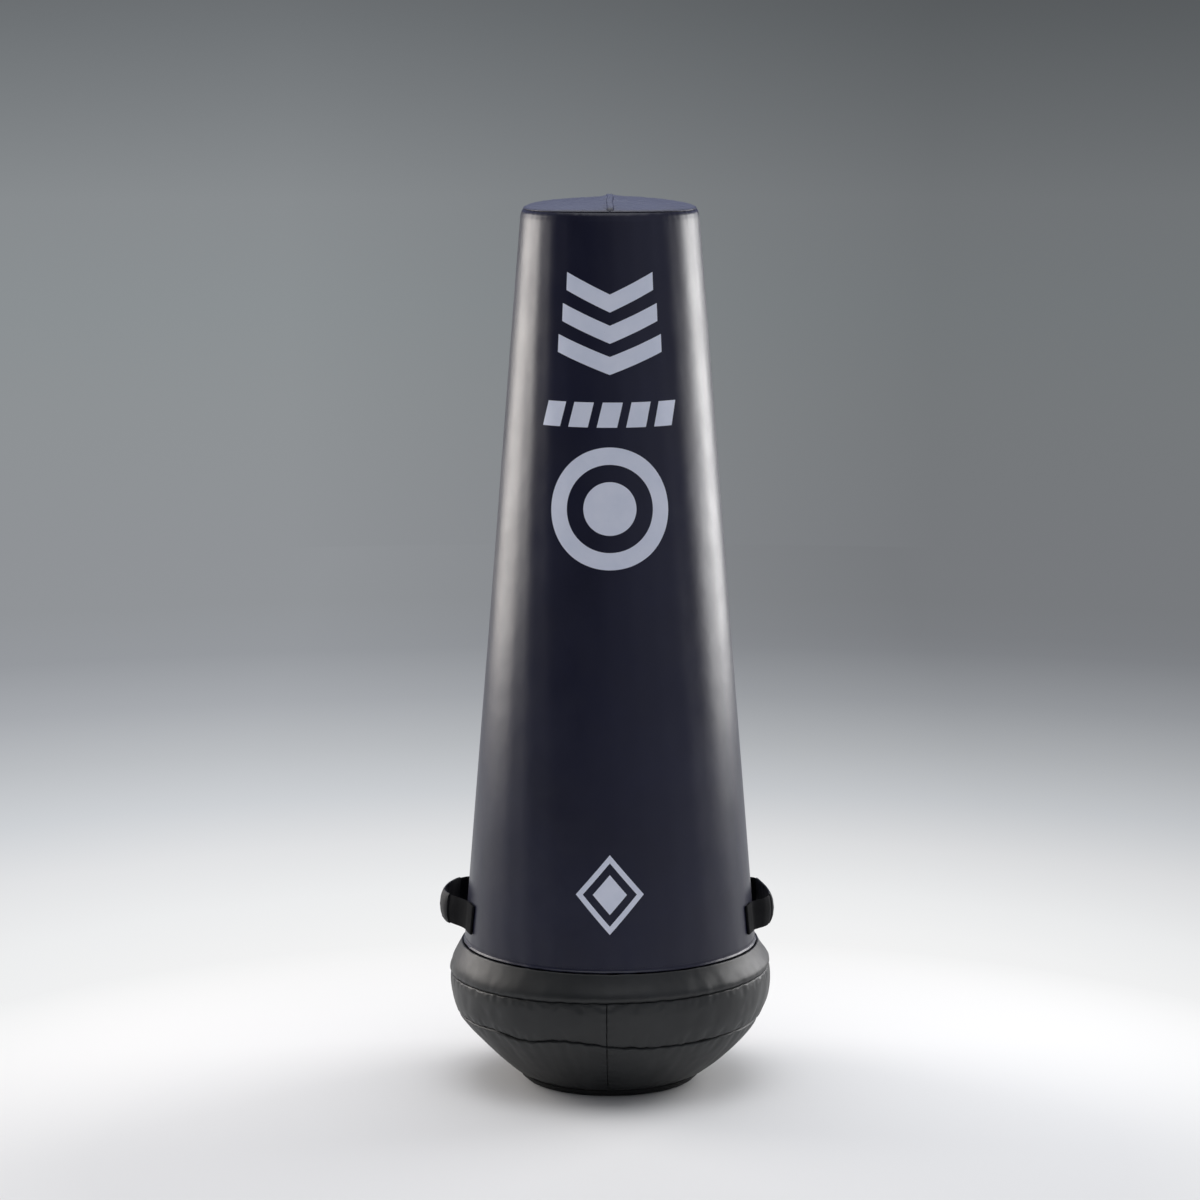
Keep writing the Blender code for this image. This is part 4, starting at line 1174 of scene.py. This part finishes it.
def make_strap(side_name, side, end_name, place):
    """One end of a handle's webbing: folded and sewn tab, bent leg and the run in the sleeve."""
    way = 1 if end_name == "front" else -1
    low = web_seat
    high = low + 2 * web_fold_radius + 0.0002
    tip = handle_half_span + tab_length - web_fold_radius - web_thickness / 2
    heel = handle_half_span + 0.002
    stations = [(heel + (tip - heel) * t, low, 0.0) for t in np.linspace(0, 1, 8)]
    for turn in np.radians((-60, -30, 0, 30, 60)):
        stations.append((tip + web_fold_radius * cos(turn),
                         (low + high) / 2 + (high - low) / 2 * sin(turn), 0.0))
    stations += [(tip - (tip - handle_half_span) * t, high, 0.0) for t in np.linspace(0, 1, 9)]
    for ahead in np.linspace(handle_half_span, 0.0004, 60)[1:]:
        extra = (high - low) * max(0.0, 1 - (handle_half_span - ahead) / 0.03) ** 2
        stations.append((ahead, low + extra + handle_gap(side_name, way * ahead), web_free(ahead)))
    half, thick = web_width / 2, web_thickness / 2
    outline = [(v * half, thick * (1 - 0.6 * max(abs(v) - 0.92, 0) / 0.08)) for v in np.linspace(-1, 1, 15)]
    outline = outline + [(v, -t) for v, t in reversed(outline)]
    middles = [web_middle(place, side, way * ahead, gap) for ahead, gap, _ in stations]
    points, uvs, travelled = [], [], 0.0
    for i, (middle, normal) in enumerate(zip(middles, web_normals(middles, side * way > 0))):
        if i:
            travelled += (middle - middles[i - 1]).length
        hang = stations[i][2]
        for v, t in outline:
            lean = cone_depth(place, middle.x, v) - cone_depth(place, middle.x, 0)
            share = v / half
            spot = middle + normal * (t + web_cup(share, hang))
            wave = strap_buckle * hang * sin(travelled * 75 + 2 * share + (0 if way > 0 else 2))
            points.append(place @ Vector((spot.x, spot.y + lean * (1 - hang) + wave, v - web_sag * hang)))
            uvs.append((travelled, v + half))
    strap = add_tube(f"strap_{side_name}_{end_name}", points, len(stations), len(outline), webbing)
    add_uvs(strap, uvs)
    soft_angle(strap, 50)
    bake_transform(strap)
    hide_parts(f"handle_{side_name}_tab_{end_name}", f"handle_{side_name}_leg_{end_name}")


def make_tab_stitches(side_name, side, end_name, place, outward):
    """A box of thread with a cross in it, through the tab and the cover."""
    way = side if end_name == "front" else -side
    low, high = handle_half_span + 0.0045, handle_half_span + tab_length - 0.0045
    half = web_width / 2 - 0.0055
    corners = [(low, -half), (high, -half), (high, half), (low, half), (low, -half)]
    lift = 2 * web_thickness + seat_gap + 0.0001
    for i, run in enumerate((corners, [(low, -half), (high, half)], [(low, half), (high, -half)])):
        line = []
        for (a, u), (b, w) in zip(run, run[1:]):
            for t in np.linspace(0, 1, 12):
                along, up = way * (a + (b - a) * t), u + (w - u) * t
                line.append(place @ Vector((along, cone_depth(place, along, up) + lift, up)))
        sew(f"tab_thread_{side_name}_{end_name}_{i + 1}", line, "bag", "webbing", black_thread,
            lambda p: outward, 0.0036, 0.0028, 0.0004)


def make_sleeve(side_name, side, place, outward):
    """The padded sleeve round the middle of the webbing, bent along with it."""
    body = f"handle_{side_name}"
    stations, count, seam_share = 66, 48, 0.78
    half = grip_width / 2
    marks = np.linspace(sleeve_half, -sleeve_half, stations)
    middles = [web_middle(place, side, mark, web_seat + handle_gap(side_name, mark)) for mark in marks]
    points, line = [], []
    for mark, at, normal in zip(marks, middles, web_normals(middles, side > 0)):
        close = max(0.0, 1 - max(abs(mark) / sleeve_half - 0.93, 0) / 0.07)
        full = 0.6 + 0.4 * sin(close * pi / 2)
        for k in range(count):
            a = tau * k / count
            c, s = cos(a), sin(a)
            share = copysign(abs(c) ** 0.4, c)
            belly = 1 - share**2
            thick = sleeve_back + sleeve_back_swell * belly
            if s > 0:
                thick = sleeve_front + sleeve_front_swell * belly * full
            out = thick * copysign(abs(s) ** 0.6, s)
            out += 0.0004 * sin(mark * 310 + 3 * share) * belly
            spot = at + normal * (out + web_cup(share, web_free(abs(mark))))
            points.append(place @ Vector((spot.x, spot.y, half * share - web_sag)))
        thick = sleeve_front + sleeve_front_swell * (1 - seam_share**2) * full
        seam = at + normal * (thick + web_cup(-seam_share, 1))
        line.append(place @ Vector((seam.x, seam.y, -half * seam_share - web_sag)))
    sleeve = soft_angle(add_tube(f"grip_sleeve_{side_name}", points, stations, count, grip_vinyl), 60)
    place_piece(sleeve, "grip_vinyl", f"handle_{side_name}_grip", body=body, pad=0.7)
    sew(f"grip_thread_{side_name}", line[3:-3], body, "grip_vinyl", black_thread, lambda p: outward,
        radius=0.0004)


for side_name, side in sides:
    where = handle_place(side)
    outward = (where.to_3x3() @ Vector((0, 1, 0))).normalized()
    for end_name in ("front", "rear"):
        make_strap(side_name, side, end_name, where)
        make_tab_stitches(side_name, side, end_name, where, outward)
    make_sleeve(side_name, side, where, outward)


# Zip

# Half of one tooth's outline, across the chain from its root to its tip, and along the chain
tooth_half = ((0.0034, 0.0010), (0.0018, 0.0008), (0.0010, 0.0012), (0.0001, 0.0011), (-0.0006, 0.0006))
tooth_centre = 0.0014
tooth_length_share = 0.62


def rear_place(height):
    """Frame on the rear facet: X across, Y up the facet and Z straight out of it."""
    across = Vector((-1, 0, 0))
    up = Vector((0, -cone_slope * flat_share, 1)).normalized()
    place = Matrix((across, up, across.cross(up))).transposed().to_4x4()
    place.translation = (0, cone_radius(height) * flat_share, height)
    return place


def make_tape(side_name, side, place):
    """A woven tape with a thick edge beside the teeth."""
    rows = 260
    xs = np.array([0.0034, 0.0042, 0.006, 0.008, 0.0098, zip_tape_edge])
    points, uvs = [], []
    for y in np.linspace(0, zip_length, rows):
        for x in xs:
            points.append(place @ Vector((side * x, y, 0.0005 * bell(x - 0.0037, 0.0006) - zip_tape_depth)))
            uvs.append((y, x))
    faces = grid_faces(rows, len(xs), flip=side > 0)
    tape = add_mesh(f"zip_tape_cloth_{side_name}", points, faces, tape_cloth)
    add_uvs(tape, uvs)
    thicken(tape, zip_tape_thickness)
    place_piece(tape, "zip_fabric", f"zip_tape_{side_name}")


def make_teeth(side_name, side, place):
    """Moulded teeth that mesh with those of the other side down the middle."""
    tooth = [(tooth_half[0][0], -tooth_half[0][1]), *tooth_half] + [(x, -y) for x, y in tooth_half[:0:-1]]
    n = len(tooth)
    points, faces = [], []
    for i in range(int((zip_length - 0.008) / tooth_pitch)):
        y = 0.004 + (i + (0.25 if side > 0 else 0.75)) * tooth_pitch
        first = len(points)
        for depth, size in ((-0.0033, 0.9), (-0.0030, 1.0), (-0.0008, 1.0), (-0.0005, 0.82)):
            for x, dy in tooth:
                inner = tooth_centre + (x - tooth_centre) * size
                points.append(place @ Vector((side * inner, y + dy * tooth_length_share * size, depth)))
        solid = grid_faces(4, n, True) + [tuple(range(n))[::-1], tuple(range(3 * n, 4 * n))]
        faces += [tuple(first + k for k in face) for face in solid]
    if side < 0:
        faces = [face[::-1] for face in faces]
    chain = soft_angle(add_mesh(f"zip_teeth_{side_name}", points, faces, zip_plastic), 40)
    place_piece(chain, "zip_plastic", f"zip_chain_{side_name}")


zip_place = rear_place(hem_height + zip_lift)
for side_name, side in (("left", 1), ("right", -1)):
    make_tape(side_name, side, zip_place)
    make_teeth(side_name, side, zip_place)


# Foam and the parts inside

foam_clearance = cover_thickness + seat_gap
body_foam_top = 1.4687
core_bore_radius = 0.0706
core_bore_top = 1.2586
zip_groove_half, zip_groove_depth = 0.016, 0.006
zip_groove_top = 1.11


def make_foam(name, outline, rounding, segments, node, material=foam, slot="foam"):
    """A turned piece of foam. An outline off the axis is a ring and closes on itself."""
    shape = rounded(outline, rounding)
    if outline[0][0]:
        shape.append(outline[0])
    piece = lathe(name, shape, material, segments)
    place_piece(piece, slot, node, pad=1.0)


def make_body_foam():
    """The cone of foam, with a shallow groove behind the zip."""
    outline = rounded([
        (0.0, body_foam_top), (cone_radius(body_foam_top) - foam_clearance, body_foam_top),
        (cone_radius(hem_height) - foam_clearance, hem_height), (core_bore_radius, hem_height),
        (core_bore_radius, core_bore_top), (0.0, core_bore_top),
    ], 0.003)
    outside = 0.12
    fine = []
    for (r1, z1), (r2, z2) in zip(outline, outline[1:]):
        steps = max(int(abs(z2 - z1) / 0.01), 1) if min(r1, r2) > outside else 1
        fine += [(r1 + (r2 - r1) * k / steps, z1 + (z2 - z1) * k / steps) for k in range(steps)]
    piece = lathe("foam_body", fine + outline[-1:], foam, 200)
    for vert in piece.data.vertices:
        x, y, z = vert.co
        radius = hypot(x, y)
        if radius > outside and hem_height - 0.001 <= z <= body_foam_top + 0.0001:
            behind = abs(atan2(x, -y) % tau - pi) * cone_radius(z)
            grooved = behind < zip_groove_half and hem_height + 0.04 < z < zip_groove_top
            share = 1 - (zip_groove_depth if grooved else 0.0004) / radius
            vert.co.x, vert.co.y = x * share, y * share
    place_piece(piece, "foam", "body_foam", pad=1.0)


def make_foams():
    """Smooth foam pieces for the padding inside."""
    make_body_foam()
    low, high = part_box("top_foam_pad")
    radius, bottom = cone_radius(low[2]) - foam_clearance - 0.0006, low[2] + 0.0003
    make_foam("foam_top", [
        (0.0, high[2] - 0.0006), (cone_top_radius - 0.016, high[2] - 0.0095), (radius - 0.005, 1.513),
        (radius, bottom), (0.0, bottom),
    ], 0.004, 160, "top_foam_pad")

    low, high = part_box("core_foam_sleeve")
    outer, inner = high[0] - 0.0002, 0.0303
    make_foam("foam_sleeve", [(inner, high[2]), (outer, high[2]), (outer, low[2]), (inner, low[2])],
              0.002, 96, "core_foam_sleeve", core_foam, "core_foam")

    low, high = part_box("base_foam_deck")
    outer, step_radius, step_height = high[0] - 0.0002, 0.0786, low[2] + 0.0227
    make_foam("foam_deck", [
        (core_bore_radius, high[2]), (outer, high[2]), (outer, low[2]), (step_radius, low[2]),
        (step_radius, step_height), (core_bore_radius, step_height),
    ], 0.0015, 160, "base_foam_deck")

    low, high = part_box("base_foam_bowl")
    bottom, floor_height, floor_radius = low[2] + 0.0002, 0.0301, 0.1361
    make_foam("foam_bowl", [
        (0.0, floor_height), (floor_radius, floor_height), (floor_radius, high[2] - 0.0042),
        (0.2480, high[2] - 0.0075), (0.2560, 0.2300), (0.2680, 0.198), (0.2630, 0.157), (0.2490, 0.116),
        (0.2000, 0.0640), (0.1500, bottom), (0.0, bottom),
    ], 0.006, 200, "base_foam_bowl")


make_foams()

finishes = {
    "base_bottom_panel": black_vinyl, "post_flange": ballast_steel, "core_post": post_plastic,
    "post_cap": post_plastic, "post_bolt": fastener_steel, "post_bolt_nut": fastener_steel,
    "zip_stop_lower": zip_metal, "zip_stop_upper": zip_metal, "zip_slider": zip_metal, "zip_pull": zip_metal,
}
for i in range(1, 4):
    finishes[f"ballast_plate_{i}"] = ballast_steel
for i in range(1, 5):
    finishes[f"ballast_bolt_{i}"] = finishes[f"ballast_nut_{i}"] = fastener_steel
for node_name, finish in finishes.items():
    for material_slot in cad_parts[node_name].material_slots:
        material_slot.material = finish

bpy.context.scene.view_settings.view_transform = "Standard"
